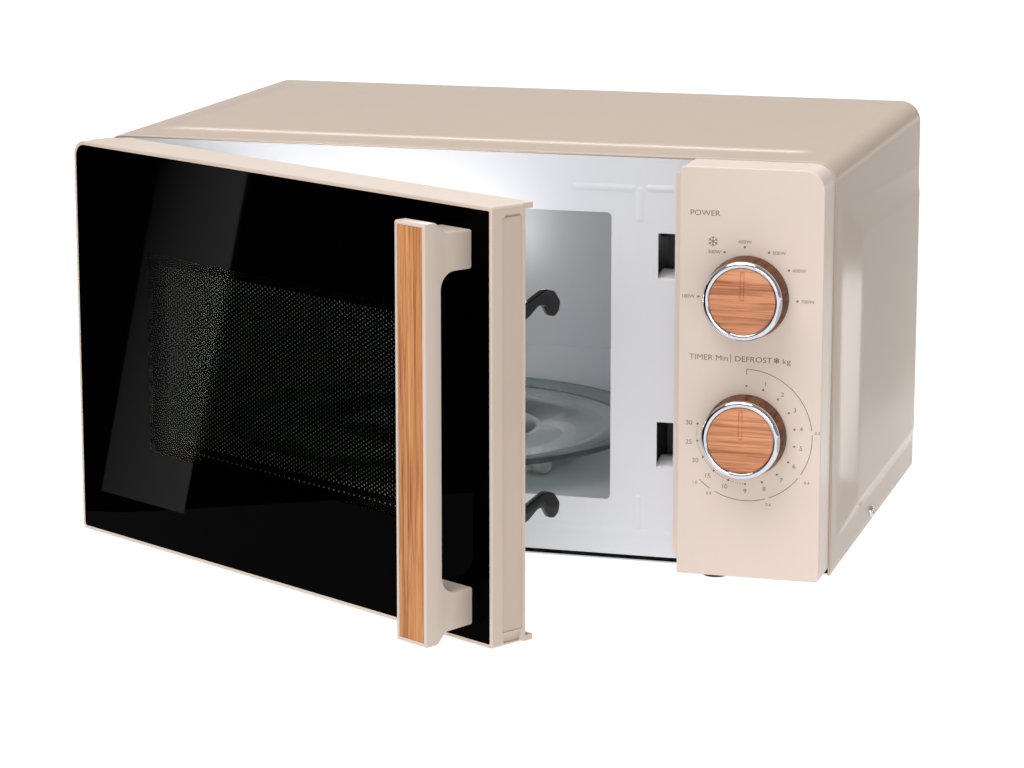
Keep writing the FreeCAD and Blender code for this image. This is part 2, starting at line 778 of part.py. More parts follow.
def make_latch():
    thick = (123.5, 127.7)
    upper = plate("upper_hook", lambda s: hook_outline(s, 0), *thick, "YZ")
    lower = plate("lower_hook", lambda s: hook_outline(s, d.hook_spacing), *thick, "YZ")
    bar = box("latch_bar", thick, (-19, -11), (66, 206))
    peg = rod("latch_peg", (125.6, -15, 60), 1.2, 7)
    door_subpart("latch_hooks", fuse("latch_hooks", upper, lower, bar, peg))

    coil = doc.addObject("Part::Helix", "spring_path")
    for path, size in (("Pitch", 2.2), ("Height", 17.6), ("Radius", 2.6)):
        bind(coil, path, size)
    wire = doc.addObject("Part::Circle", "spring_section")
    bind(wire, "Radius", 0.4)
    wire.Placement = Placement(Vector(2.6, 0, 0), Rotation(Vector(1, 0, 0), 90))
    spring = doc.addObject("Part::Sweep", "latch_spring_sweep")
    spring.Sections = [wire]
    spring.Spine = (coil, ["Edge1"])
    spring.Solid = True
    spring.Frenet = True
    spring.Placement = Placement(Vector(125.6, -15, 47.6), Rotation())
    anchor = box("spring_anchor", (124.6, 126.6), (-16, -14), (46, 47.2))
    door_subpart("latch_spring", group("latch_spring", [spring, anchor]))


def make_latch_housing():
    """The moulding behind the plate: side wall, ends and the two keepers that the hooks catch."""
    wall = box("housing_wall", (133, 136), (1, 50), (58, 222))
    ends = [box("housing_foot", (118, 133), (1, 50), (58, 62)),
            box("housing_head", (118, 133), (1, 50), (218, 222))]
    keepers = []
    for i, drop in enumerate((as_size(0), d.hook_spacing)):
        keeper = plate(f"keeper_{i}", lambda s, drop=drop: polygon(s, [
            (y, as_size(z) - drop) for y, z in
            ((1, 176), (19, 176), (19, 186.2), (15, 186.2), (1, 183))]), 120.5, 133.5, "YZ")
        keepers.append(keeper)
    subpart("latch_housing", fuse("latch_housing", wall, *ends, *keepers))


def make_door_switches():
    for name, drop in (("upper", as_size(0)), ("lower", d.hook_spacing)):
        z = as_size(195) - drop
        case = box(f"{name}_switch_case", (119.5, 132.8), (36, 47), (z - 12, z + 12))
        bore = rod(f"{name}_switch_bore", (125.6, 35, z), 1.5 + d.running_gap.value, 5.5, "Y")
        subpart(f"{name}_door_switch", cut(f"{name}_switch", case, bore))
        subpart(f"{name}_switch_button", rod(f"{name}_button", (125.6, 33, z), 1.5, 5.4, "Y"))


def make_hinges():
    """Each hinge is a tab off the front plate with a pin that stands up into the door."""
    x, y = d.hinge_x, d.hinge_y
    for name, low, pin_top in (("upper", as_size(243.4), 251), ("lower", as_size(10.6), 22)):
        tab = box(f"{name}_tab", (x - 5, x + 5), (y, 0), (low, low + 2))
        nose = rod(f"{name}_nose", (x, y, low), 5, 2)
        pin = rod(f"{name}_pin", (x, y, low), d.pin_radius, as_size(pin_top) - low)
        pieces = [tab, nose, pin]
        if name == "lower":
            pieces.append(box("lower_riser", (x - 5, x + 5), (-1.2, 0), (low, 30)))
        subpart(f"{name}_hinge", fuse(f"{name}_hinge", *pieces))


# ---------------------------------------------------------------- turntable


def make_turntable():
    x, y = d.turntable_x, d.turntable_y
    centre = (x, y)
    under = d.tray_underside
    motor = rod("motor_can", (*centre, 18), 24, 15)
    ears = box("motor_ears", (x - 32, x + 32), (y - 8, y + 8), (33, d.cavity_floor - d.sheet))
    bore = rod("motor_bore", (*centre, 26), 4 + d.running_gap.value, 12)
    subpart("turntable_motor", cut("turntable_motor", fuse("motor_form", motor, ears), bore))
    stem = rod("coupler_stem", (*centre, 28), 4, 14)
    hub = rod("coupler_hub", (*centre, 40), 11, 8)
    lobes = [box(f"coupler_lobe_{i}", (0, 22), (-4, 4), (44, under - 0.4)) for i in range(3)]
    for i, lobe in enumerate(lobes):
        lobe.Placement = Placement(Vector(), Rotation(Vector(0, 0, 1), 90 + 120 * i))
        bind_base(lobe, lobe_start(90 + 120 * i, 4))
    subpart("turntable_coupler", fuse("turntable_coupler", stem, hub, *lobes))

    radius, thick = d.tray_radius, d.tray_thickness
    tray = turned("tray_disc", [
        (0, under), (108, under), (radius - 3, under + 4.4), (radius, under + 6.2),
        (radius, under + 8.2), (radius - 2.5, under + 9), (106, under + thick), (0, under + thick)])
    reach, foot = 14, under - 4.4
    dogs = [box(f"tray_dog_{i}", (reach, 20), (-3, 3), (foot, under + 1)) for i in range(3)]
    for i, dog in enumerate(dogs):
        angle = 30 + 120 * i
        spin = math.radians(angle)
        dog.Placement = Placement(Vector(), Rotation(Vector(0, 0, 1), angle))
        bind_base(dog, (reach * math.cos(spin) + 3 * math.sin(spin),
                        reach * math.sin(spin) - 3 * math.cos(spin), foot))
    subpart("glass_tray", fuse("glass_tray", tray, *dogs), (x, y, 0))
    make_roller_ring()


def lobe_start(angle, half_width):
    """The corner of a bar that runs out from the turntable's axis at an angle."""
    spin = math.radians(angle)
    return (d.turntable_x + half_width * math.sin(spin),
            d.turntable_y - half_width * math.cos(spin), 44)


def make_roller_ring():
    x, y = d.turntable_x, d.turntable_y
    level = d.cavity_floor + d.wheel_radius + 0.3
    path = d.wheel_path
    ring = turned("ring_rim", [
        (path - 12, level - 2), (path - 5, level - 2), (path - 5, level + 2), (path - 12, level + 2)])
    ring.Placement = Placement(Vector(), Rotation())
    bind_base(ring, (x, y, 0))
    axles = []
    for i in range(3):
        angle = 90 + 120 * i
        spin = math.radians(angle)
        out = Vector(math.cos(spin), math.sin(spin), 0)
        facing = Rotation(Vector(0, 0, 1), out)
        axle = rod(f"ring_axle_{i}", (0, 0, 0), d.wheel_axle, 11.4)
        stop = rod(f"ring_stop_{i}", (0, 0, 0), d.wheel_axle + 1.2, 1.2)
        for piece, reach in ((axle, path - 6), (stop, path + 4.4)):
            piece.Placement = Placement(Vector(), facing)
            bind_base(piece, (x + reach * out.x, y + reach * out.y, level))
        axles += [axle, stop]
        gap = d.running_gap
        wheel = turned(f"wheel_{i}", [
            (d.wheel_axle + gap, -3.4), (d.wheel_radius - 0.6, -3.4), (d.wheel_radius, -2.6),
            (d.wheel_radius, 2.6), (d.wheel_radius - 0.6, 3.4), (d.wheel_axle + gap, 3.4)])
        subpart(f"roller_wheel_{i + 1}", wheel, (x + path * out.x, y + path * out.y, level), facing)
    subpart("roller_ring", fuse("roller_ring", ring, *axles))


# ---------------------------------------------------------------- electrical compartment


def make_magnetron():
    left = d.cavity_right + d.sheet + 22
    yoke = box("magnetron_yoke", (left, left + 52), (102, 184), (166, 240))
    gaps = []
    for i in range(7):
        near = left + 6 + 6 * i
        gaps.append(box(f"magnetron_gap_{i}", (near, near + 3), (98, 188), (172, 234)))
    core = rod("magnetron_core", (left, 143, 205), 19, 52, "X")
    antenna = rod("magnetron_antenna", (left - 16, 143, 205), 7, 17, "X")
    filter_box = box("magnetron_filter", (left + 52, left + 72), (126, 160), (190, 220))
    form = fuse("magnetron_form", cut("magnetron_fins", yoke, *gaps), core, antenna, filter_box)
    subpart("magnetron", form)
    subpart("thermal_cutout", fuse(
        "thermal_cutout", rod("cutout_can", (left + 26, 143, 240), 8, 9),
        box("cutout_tabs", (left + 20, left + 32), (141, 145), (249, 251))))


def make_transformer():
    low = d.base_level + d.sheet
    core = box("transformer_laminations", (112, 190), (150, 218), (low, low + 62))
    windows = []
    for i in range(2):
        near = 126 + 30 * i
        windows.append(box(f"transformer_window_{i}", (near, near + 20), (140, 228),
                           (low + 12, low + 50)))
    subpart("transformer_core", cut("transformer_laminate", core, *windows))
    coils = []
    for name, start, end in (("primary", 12.3, 30), ("secondary", 32, 49.7)):
        height = (low + start, low + end)
        outer = box(f"{name}_coil_outer", (126.3, 175.7), (138, 230), height)
        limb = box(f"{name}_coil_limb", (145.7, 156.3), (149.7, 218.3), height)
        coils.append(cut(f"{name}_coil", outer, limb))
    subpart("transformer_windings", group("transformer_windings", coils))


def make_power_parts():
    low = d.base_level + d.sheet
    can = rounded("capacitor_can", box("capacitor_block", (134, 204), (70, 104), (low, low + 52)), 15,
                  lambda middle, run: run.z > 0.99)
    posts = [box(f"capacitor_tab_{i}", (152 + 26 * i, 158 + 26 * i), (86, 87), (low + 51, low + 60))
             for i in range(2)]
    subpart("capacitor", fuse("capacitor", can, *posts))
    diode = rod("diode_body", (150, 124, low + 6), 4, 24, "X")
    leads = rod("diode_leads", (140, 124, low + 6), 0.8, 44, "X")
    subpart("diode", fuse("diode", diode, leads))
    board = box("filter_sheet", (128, 204), (206, 250), (226, 227.6))
    choke = cut("filter_choke", rod("choke_outer", (146, 228, 227.6), 11, 9),
                rod("choke_hole", (146, 228, 227), 5, 12))
    fuse_body = rod("fuse_glass", (166, 216, 232), 3, 20, "X")
    clips = [box(f"fuse_clip_{i}", (165 + 17 * i, 168 + 17 * i), (212, 220), (227, 233))
             for i in range(2)]
    relay = box("filter_block", (172, 196), (226, 244), (227, 239))
    subpart("filter_board", fuse("filter_board", board, choke, fuse_body, *clips, relay))


def make_fan():
    x, z = as_size(170), as_size(172)
    shroud = box("shroud_block", (x - 44, x + 44), (258, 288), (z - 44, z + 44))
    duct = rod("shroud_bore", (x, 257, z), 40, 32, "Y")
    bars = [box("shroud_bar", (x - 42, x + 42), (284, 288), (z - 4, z + 4))]
    shaft = rod("shroud_shaft_hole", (x, 283, z), 2.5, 6, "Y")
    shell = cut("shroud_shell", shroud, duct)
    subpart("fan_shroud", cut("fan_shroud", fuse("shroud_form", shell, *bars), shaft))
    stack = box("fan_stack", (x - 20, x + 20), (288, 295.8), (z - 24, z + 24))
    bore = rod("fan_motor_bore", (x, 287, z), 2 + d.running_gap.value, 7, "Y")
    subpart("fan_motor", cut("fan_motor", stack, bore))
    hub = rod("fan_hub", (x, 264, z), 9, 12, "Y")
    spindle = rod("fan_spindle", (x, 270, z), 2, 23, "Y")
    blades = []
    for i in range(5):
        blade = box(f"fan_blade_{i}", (0, 30), (0, 1.4), (0, 14))
        swirl = Rotation(Vector(0, 1, 0), 72 * i)
        pitch = Rotation(Vector(1, 0, 0), 35)
        blade.Placement = Placement(Vector(), swirl.multiply(pitch))
        shift = swirl.multVec(Vector(7, -2, -6))
        bind_base(blade, (x + shift.x, 275.5 + shift.y, z + shift.z))
        blades.append(blade)
    subpart("fan_blade", fuse("fan_blade", hub, spindle, *blades))


def make_small_fittings():
    wall = d.cavity_right + d.sheet
    socket = box("lamp_base", (wall + 0.2, wall + 16), (50, 80), (222, 232))
    bulb = rod("lamp_bulb", (wall + 9, 65, 198), 7, 25)
    subpart("oven_lamp", fuse("oven_lamp", socket, bulb))
    rear = d.rear_face
    flange = rod("gland_flange", (185, rear + d.sheet, 48), 11, 1.7, "Y")
    neck = rod("gland_neck", (185, rear - 7, 48), 7.9, 8, "Y")
    hole = rod("gland_bore", (185, rear - 8, 48), 4, 14, "Y")
    subpart("cord_gland", cut("cord_gland", fuse("gland_form", flange, neck), hole))
    screws = []
    spots = [(-215, 60), (-215, 190), (215, 60), (215, 190), (-110, 246), (110, 246)]
    for i, (x, z) in enumerate(spots):
        screws.append(rod(f"rear_screw_{i}", (x, rear + d.sheet, z), 3.5, 1.7, "Y"))
    for i, side in enumerate((-1, 1)):
        start = d.cover_side if side > 0 else -d.cover_side - 2
        screws.append(rod(f"side_screw_{i}", (start, 138.3, 17.3), 3.7, 2, "X"))
    subpart("cover_screws", group("cover_screws", screws))


# ---------------------------------------------------------------- build, check and write


def check_model():
    doc.recompute()
    for thing in doc.Objects:
        if any(word in thing.State for word in ("Invalid", "Error")):
            raise RuntimeError(f"{thing.Name} failed: {thing.State}")
    labels = [thing.Label for thing in subparts]
    if len(set(labels)) != len(labels):
        raise RuntimeError("two sub-parts share a label")
    for thing in subparts:
        shape = thing.Shape
        if shape.isNull() or not shape.isValid() or not shape.Solids:
            raise RuntimeError(f"{thing.Label} is not a valid solid")


def write_parts():
    os.makedirs("parts", exist_ok=True)
    box_all = FreeCAD.BoundBox()
    for thing in subparts:
        box_all.add(thing.Shape.BoundBox)
        thing.Shape.exportStep(f"parts/{thing.Label}.step")
        print(f"{thing.Label:22s} {len(thing.Shape.Solids)} solids {thing.Shape.Volume:12.1f} mm3")
    print("outline", box_all)


make_outer_cover()
make_base_plate()
make_rear_panel()
make_feet()
make_front_plate()
make_cavity()
make_waveguide()
make_control_panel()
make_knob("power", d.power_dial_level)
make_knob("timer", d.timer_dial_level)
make_power_selector()
make_timer_unit()
make_door_frame()
make_door_glass()
make_door_insides()
make_handle()
make_latch()
make_latch_housing()
make_door_switches()
make_hinges()
make_turntable()
make_magnetron()
make_transformer()
make_power_parts()
make_fan()
make_small_fittings()
check_model()
write_parts()
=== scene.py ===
import json
import math
from math import cos, pi, radians, sin

import bmesh
import bpy
from mathutils import Matrix, Vector


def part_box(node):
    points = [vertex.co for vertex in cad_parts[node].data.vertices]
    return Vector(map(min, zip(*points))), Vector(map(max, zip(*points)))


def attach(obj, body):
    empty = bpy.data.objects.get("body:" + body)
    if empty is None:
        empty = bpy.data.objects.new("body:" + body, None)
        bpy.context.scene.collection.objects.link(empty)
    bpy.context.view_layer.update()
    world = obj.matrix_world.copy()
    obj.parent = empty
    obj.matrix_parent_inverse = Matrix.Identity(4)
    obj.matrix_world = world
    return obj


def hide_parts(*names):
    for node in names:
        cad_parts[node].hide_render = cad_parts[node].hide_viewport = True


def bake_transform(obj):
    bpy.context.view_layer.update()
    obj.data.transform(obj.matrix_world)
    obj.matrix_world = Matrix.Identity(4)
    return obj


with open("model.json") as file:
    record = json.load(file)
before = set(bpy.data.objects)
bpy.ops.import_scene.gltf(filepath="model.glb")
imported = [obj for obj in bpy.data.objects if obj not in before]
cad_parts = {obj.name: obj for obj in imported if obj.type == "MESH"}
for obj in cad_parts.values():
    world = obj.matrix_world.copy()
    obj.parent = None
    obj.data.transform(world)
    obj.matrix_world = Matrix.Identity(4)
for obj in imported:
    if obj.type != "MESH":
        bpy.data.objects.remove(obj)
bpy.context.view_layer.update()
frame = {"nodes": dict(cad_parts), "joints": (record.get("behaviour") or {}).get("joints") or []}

# A compact microwave oven with its door ajar. Shapes are written in millimetres in the cabinet's
# own coordinates: x from the centre plane, y back from the front plate's face, z up from the feet.
# Door pieces are written with the door closed. CABINET and DOOR bring both into the CAD frame.

MM = 0.001
joints = {joint["name"]: joint for joint in frame["joints"]}
hinge = Vector(joints["door_hinge"]["pos_m"])
ajar = radians(joints["door_hinge"]["range_deg"][0])
CABINET = Matrix.Translation((0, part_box("front_plate")[0].y, 0)) @ Matrix.Scale(MM, 4)
SWING = Matrix.Translation(hinge) @ Matrix.Rotation(ajar, 4, "Z") @ Matrix.Translation(-hinge)
DOOR = SWING @ CABINET
OUTWARD = Matrix.Rotation(pi / 2, 4, "X")

DIAL_X, POWER_Z, TIMER_Z = 181.3, 180.3, 99.6
PANEL_FACE = -30.0
TRAY_CENTRE = (-56.0, 141.0)
LATCH_PEG = (125.6, -15)
COVER_HALF_WIDTH = 226.0


# ---------------------------------------------------------------- materials


def srgb(r, g, b):
    """A display colour, 0 to 255, as linear light."""
    def linear(v):
        v /= 255
        return v / 12.92 if v <= 0.04045 else ((v + 0.055) / 1.055) ** 2.4
    return (linear(r), linear(g), linear(b), 1)


def shaded(color, factor):
    """A linear colour made darker or lighter."""
    return tuple(min(channel * factor, 1) for channel in color[:3]) + (1,)


class Look:
    """A node material under construction."""

    def __init__(self, name, **settings):
        self.material = bpy.data.materials.new(name)
        self.material.use_nodes = True
        self.tree = self.material.node_tree
        self.shader = self.tree.nodes["Principled BSDF"]
        self.place = self.node("ShaderNodeTexCoord").outputs["Object"]
        for socket, value in settings.items():
            self.shader.inputs[socket].default_value = value

    def node(self, kind, inputs=None, **attributes):
        new = self.tree.nodes.new(kind)
        for key, value in attributes.items():
            setattr(new, key, value)
        for key, value in (inputs or {}).items():
            if isinstance(value, bpy.types.NodeSocket):
                self.tree.links.new(value, new.inputs[key])
            else:
                new.inputs[key].default_value = value
        return new

    def set(self, socket, value):
        self.tree.links.new(value, self.shader.inputs[socket])

    def math(self, operation, a, b, c=None):
        inputs = {0: a, 1: b}
        if c is not None:
            inputs[2] = c
        return self.node("ShaderNodeMath", inputs, operation=operation).outputs[0]

    def stretched(self, scale):
        """The object's coordinates, stretched along each axis, for a grain with a direction."""
        inputs = {"Vector": self.place, "Scale": scale}
        return self.node("ShaderNodeMapping", inputs).outputs[0]

    def noise(self, scale, detail=3.0, distortion=0.0, vector=None, rough=0.5):
        inputs = {"Vector": vector or self.place, "Scale": scale, "Detail": detail,
                  "Distortion": distortion, "Roughness": rough}
        return self.node("ShaderNodeTexNoise", inputs).outputs["Fac"]

    def ramp(self, value, *stops):
        node = self.node("ShaderNodeValToRGB", {"Fac": value})
        elements = node.color_ramp.elements
        while len(elements) < len(stops):
            elements.new(0.5)
        for element, (position, color) in zip(elements, stops):
            element.position = position
            element.color = color
        return node.outputs["Color"]

    def ranged(self, value, low, high, start=0.3, end=0.7):
        inputs = {"Value": value, "From Min": start, "From Max": end, "To Min": low, "To Max": high}
        return self.node("ShaderNodeMapRange", inputs).outputs[0]

    def mixed(self, factor, first, second, blend="MIX"):
        inputs = {0: factor, 6: first, 7: second}
        return self.node("ShaderNodeMix", inputs, data_type="RGBA", blend_type=blend).outputs[2]

    def bump(self, height, distance, strength=1.0):
        inputs = {"Height": height, "Distance": distance, "Strength": strength}
        self.set("Normal", self.node("ShaderNodeBump", inputs).outputs[0])


def coated(name, color, roughness, grain=700, uneven=0.03, relief=0.00001, **settings):
    """Paint or moulded plastic: faint mottling, uneven gloss and a fine surface texture."""
    look = Look(name, **settings)
    cloud = look.noise(18, 2)
    look.set("Base Color", look.ramp(cloud, (0.1, shaded(color, 1 - uneven)),
                                     (0.9, shaded(color, 1 + uneven))))
    fine = look.noise(grain, 2)
    look.set("Roughness", look.ranged(look.noise(60), roughness * 0.96, roughness * 1.04))
    look.bump(fine, relief)
    return look.material


def brushed(name, color, roughness, direction=(1, 40, 40)):
    """Sheet metal with fine lines along one direction."""
    look = Look(name, Metallic=1)
    lines = look.noise(60, 3, vector=look.stretched(direction))
    look.set("Base Color", look.ramp(lines, (0.3, shaded(color, 0.85)), (0.7, shaded(color, 1.1))))
    look.set("Roughness", look.ranged(lines, roughness * 0.7, roughness * 1.3))
    look.bump(lines, 0.00002)
    return look.material


def polished(name, color, roughness):
    """Bright metal with faint scuffs."""
    look = Look(name, Metallic=1)
    look.shader.inputs["Base Color"].default_value = color
    scuffs = look.noise(900, 4, vector=look.stretched((1, 1, 8)))
    look.set("Roughness", look.ranged(scuffs, roughness * 0.6, roughness * 1.6))
    look.bump(look.noise(25, 1), 0.00001)
    return look.material


def timber(name, grain_axis, light, middle, dark):
    """Oiled wood veneer: broad figure, growth lines and fine pores along the grain."""
    along, across = 0.035, 1.0
    scale = [across] * 3
    scale["XYZ".index(grain_axis)] = along
    look = Look(name)
    look.shader.inputs["Specular IOR Level"].default_value = 0.1
    run = look.stretched(tuple(scale))
    figure = look.noise(120, 5, 1.8, run)
    broad = look.ramp(figure, (0.30, dark), (0.47, middle), (0.66, light))
    lines = look.noise(520, 4, 0.8, run, 0.62)
    streaks = look.ramp(lines, (0.36, shaded(dark, 0.9)), (0.52, shaded(light, 1.05)))
    body = look.mixed(0.36, broad, streaks)
    fine_scale = [value * (0.5 if value < across else 1.0) for value in scale]
    pores = look.noise(1900, 2, 0.2, look.stretched(tuple(fine_scale)))
    pore_shade = look.ramp(pores, (0.33, (0.62, 0.55, 0.5, 1)), (0.43, (1, 1, 1, 1)))
    look.set("Base Color", look.mixed(0.75, body, pore_shade, "MULTIPLY"))
    look.set("Roughness", look.ranged(lines, 0.5, 0.36))
    look.bump(look.math("ADD", pores, figure), 0.00006, 0.6)
    return look.material


def door_glazing():
    """Black printed glass with a smoked clear window, found in the closed door's coordinates."""
    look = Look("black_glass", Roughness=0.02, IOR=1.058)
    closed = look.node("ShaderNodeVectorRotate", {"Vector": look.place, "Center": hinge,
                                                  "Axis": (0, 0, 1), "Angle": -ajar})
    parts = look.node("ShaderNodeSeparateXYZ", {0: closed.outputs[0]}).outputs
    middle_x, middle_z, half_width, half_height = -41.5, 133.5, 115, 60
    across = look.math("COMPARE", parts[0], middle_x * MM, half_width * MM)
    upright = look.math("COMPARE", parts[2], middle_z * MM, half_height * MM)
    window = look.math("MULTIPLY", across, upright)
    smoke = look.noise(40, 2)
    ink = (0.0004, 0.0004, 0.0004, 1)
    print_black = look.ramp(smoke, (0.3, shaded(ink, 0.5)), (0.7, ink))
    look.set("Base Color", look.mixed(window, print_black, (0.5, 0.53, 0.5, 1)))
    look.set("Transmission Weight", window)
    return look.material


def clear(name, color, roughness, ior=1.5, relief=0.0):
    """Glass or clear film, stippled if it has a relief."""
    look = Look(name, IOR=ior)
    look.shader.inputs["Transmission Weight"].default_value = 1
    look.set("Base Color", look.ramp(look.noise(20, 2), (0.3, shaded(color, 0.96)), (0.7, color)))
    look.set("Roughness", look.ranged(look.noise(90, 3), roughness * 0.6, roughness * 1.4))
    if relief:
        look.bump(look.noise(1100, 1), relief)
    return look.material


soft_gloss = {"Specular IOR Level": 0.035}
cover_paint = coated("cover_paint", srgb(204, 186, 170), 0.17, 260, 0.006, 0.000001, **soft_gloss)
panel_gloss = coated("panel_plastic", srgb(231, 214, 201), 0.25, 300, 0.01, 0.000001,
                     **{"Specular IOR Level": 0.08})
door_plastic = coated("door_plastic", srgb(214, 196, 181), 0.34, 500, 0.015, 0.00001,
                      **{"Specular IOR Level": 0.2})
edge_plastic = coated("edge_plastic", srgb(208, 188, 172), 0.5, 1400, 0.05, 0.00005,
                      **{"Specular IOR Level": 0.2})
handle_plastic = coated("handle_plastic", srgb(214, 197, 184), 0.3, 500, 0.012, 0.00001,
                        **{"Specular IOR Level": 0.25})
# The white enamel is set a little grey and cool: painted shade for the plate's shaded right and lower
# parts.
plate_enamel = coated("plate_enamel", srgb(222, 223, 228), 0.3, 300, 0.006, 0.000001,
                      **{"Specular IOR Level": 0.2})
cavity_enamel = coated("cavity_enamel", srgb(192, 194, 198), 0.24, 420, 0.02, 0.000003)
zinc = brushed("zinc_sheet", (0.55, 0.56, 0.57, 1), 0.38)
bright_steel = polished("bright_steel", (0.72, 0.72, 0.73, 1), 0.16)
chrome = polished("ring_chrome", (0.68, 0.69, 0.74, 1), 0.06)
aluminium = brushed("drawn_aluminium", (0.76, 0.77, 0.78, 1), 0.3)
copper = brushed("wound_copper", (0.72, 0.33, 0.16, 1), 0.3, (4, 1, 90))
iron = coated("stacked_iron", (0.05, 0.05, 0.055, 1), 0.6, 900, 0.2, 0.00006, Metallic=0.6)
black_satin = coated("black_satin", (0.006, 0.006, 0.0065, 1), 0.35, 900, 0.1, 0.00002)
# The screen's black paint. It is also painted shade on the sheet beside the hinge.
screen_black_and_shade = coated("screen_black_and_shade", (0.002, 0.002, 0.002, 1), 0.6, 1500, 0.1, 0.00001,
                      **{"Specular IOR Level": 0.02})
hook_plastic = coated("hook_plastic", (0.0015, 0.0015, 0.002, 1), 0.12, 350, 0.1, 0.000002,
                      **{"Specular IOR Level": 0.35})
housing_plastic = coated("housing_plastic", srgb(226, 226, 228), 0.42, 900, 0.05, 0.00003)
grey_plastic = coated("grey_plastic", srgb(60, 60, 62), 0.45, 900, 0.08, 0.00003)
pale_plastic = coated("pale_plastic", srgb(205, 204, 198), 0.4, 800, 0.03, 0.00003)
red_plastic = coated("red_plastic", srgb(170, 40, 34), 0.4, 800, 0.04, 0.00002)
foot_rubber = coated("foot_rubber", (0.012, 0.012, 0.012, 1), 0.75, 1200, 0.2, 0.00006)
board_lacquer = coated("board_lacquer", srgb(28, 92, 52), 0.3, 500, 0.12, 0.00002)
mica = coated("mica_sheet", srgb(196, 184, 160), 0.55, 220, 0.1, 0.00003)
print_ink = coated("print_ink", srgb(112, 108, 110), 0.5, 900, 0.04, 0.000004)
handle_wood = timber("handle_wood", "Z", srgb(212, 154, 103), srgb(190, 125, 77), srgb(140, 78, 42))
knob_wood = timber("knob_wood", "X", srgb(228, 162, 122), srgb(212, 142, 104), srgb(152, 90, 62))
skirt_wood = timber("skirt_wood", "Y", srgb(130, 80, 56), srgb(102, 58, 38), srgb(60, 32, 20))
black_glass = door_glazing()
clear_film = clear("clear_film", (0.9, 0.92, 0.92, 1), 0.02, 1.05)
tray_glass = clear("tray_glass", (0.8, 0.95, 0.9, 1), 0.03)
rim_glass = clear("rim_glass", (0.72, 0.92, 0.85, 1), 0.12, 1.5, 0.0006)
lamp_glass = clear("lamp_glass", (0.97, 0.94, 0.86, 1), 0.2)

NODE_LOOKS = {
    zinc: ["rear_panel", "base_plate", "upper_hinge", "lower_hinge", "turntable_motor", "waveguide",
           "timer_unit"],
    bright_steel: ["timer_bell", "handle_screws"],
    plate_enamel: ["front_plate"],
    cavity_enamel: ["cavity_wrap", "cavity_floor", "cavity_back"],
    panel_gloss: ["control_panel"],
    housing_plastic: ["latch_housing"],
    grey_plastic: ["power_selector", "upper_door_switch", "lower_door_switch"],
    aluminium: ["magnetron", "capacitor"],
    copper: ["transformer_windings"],
    iron: ["transformer_core", "fan_motor"],
    black_satin: ["diode", "fan_shroud", "thermal_cutout", "cord_gland", "choke_cover", "fan_blade"],
    board_lacquer: ["filter_board"],
    foot_rubber: ["feet"],
    lamp_glass: ["oven_lamp"],
    mica: ["waveguide_cover"],
    door_plastic: ["door_frame"],
    black_glass: ["door_glass"],
    clear_film: ["inner_window"],
    pale_plastic: ["power_shaft", "timer_shaft", "turntable_coupler", "roller_ring",
                   "roller_wheel_1", "roller_wheel_2", "roller_wheel_3"],
    red_plastic: ["upper_switch_button", "lower_switch_button"],
}


# ---------------------------------------------------------------- mesh tools


def add_piece(name, bm, material, body, place, replaces=(), sharp=35):
    """Makes an object from a bmesh, moves it into the CAD frame and rides it on a body, if given."""
    bmesh.ops.recalc_face_normals(bm, faces=bm.faces)
    mesh = bpy.data.meshes.new(name)
    bm.to_mesh(mesh)
    bm.free()
    mesh.transform(place)
    mesh.materials.append(material)
    mesh.shade_smooth()
    mesh.set_sharp_from_angle(angle=radians(sharp))
    obj = bpy.data.objects.new(name, mesh)
    bpy.context.scene.collection.objects.link(obj)
    if body:
        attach(obj, body)
    if replaces:
        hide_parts(*replaces)
    return obj


def join(target, shape, place=Matrix.Identity(4)):
    """Adds one bmesh to another."""
    shape.transform(place)
    spare = bpy.data.meshes.new("spare")
    shape.to_mesh(spare)
    shape.free()
    target.from_mesh(spare)
    bpy.data.meshes.remove(spare)


def lathe(profile, steps=96):
    """A closed ring of (radius, height) points turned about Z. Points at radius 0 lie on the axis."""
    bm = bmesh.new()
    rows = []
    for radius, height in profile:
        if radius == 0:
            rows.append([bm.verts.new((0, 0, height))] * steps)
            continue
        angles = [2 * pi * i / steps for i in range(steps)]
        rows.append([bm.verts.new((radius * cos(a), radius * sin(a), height)) for a in angles])
    for first, second in zip(rows, rows[1:] + rows[:1]):
        for i in range(steps):
            corners = [first[i - 1], first[i], second[i], second[i - 1]]
            corners = list(dict.fromkeys(corners))
            if len(corners) > 2:
                bm.faces.new(corners)
    return bm


def prism(outline, low, high, axis="X"):
    """A flat outline drawn out along an axis. For X it is (y, z), for Y (x, z), for Z (x, y)."""
    def at(a, b, level):
        return {"X": (level, a, b), "Y": (a, level, b), "Z": (a, b, level)}[axis]
    bm = bmesh.new()
    near = [bm.verts.new(at(a, b, low)) for a, b in outline]
    far = [bm.verts.new(at(a, b, high)) for a, b in outline]
    bm.faces.new(near)
    bm.faces.new(far)
    for i in range(len(outline)):
        bm.faces.new((near[i - 1], near[i], far[i], far[i - 1]))
    bmesh.ops.recalc_face_normals(bm, faces=bm.faces)
    return bm


def eased(outline, radii, steps=8):
    """Rounds an outline's corners, each by its own radius."""
    points = []
    count = len(outline)
    for i, radius in enumerate(radii):
        corner = Vector(outline[i])
        before = (Vector(outline[i - 1]) - corner).normalized()
        after = (Vector(outline[(i + 1) % count]) - corner).normalized()
        if not radius:
            points.append(tuple(corner))
            continue
        half = before.angle(after) / 2
        reach = radius / math.tan(half)
        centre = corner + (before + after).normalized() * radius / sin(half)
        start, end = corner + before * reach - centre, corner + after * reach - centre
        turn = start.angle_signed(end)
        for step in range(steps + 1):
            arm = start.copy()
            arm.rotate(Matrix.Rotation(-turn * step / steps, 2))
            points.append(tuple(centre + arm))
    return points


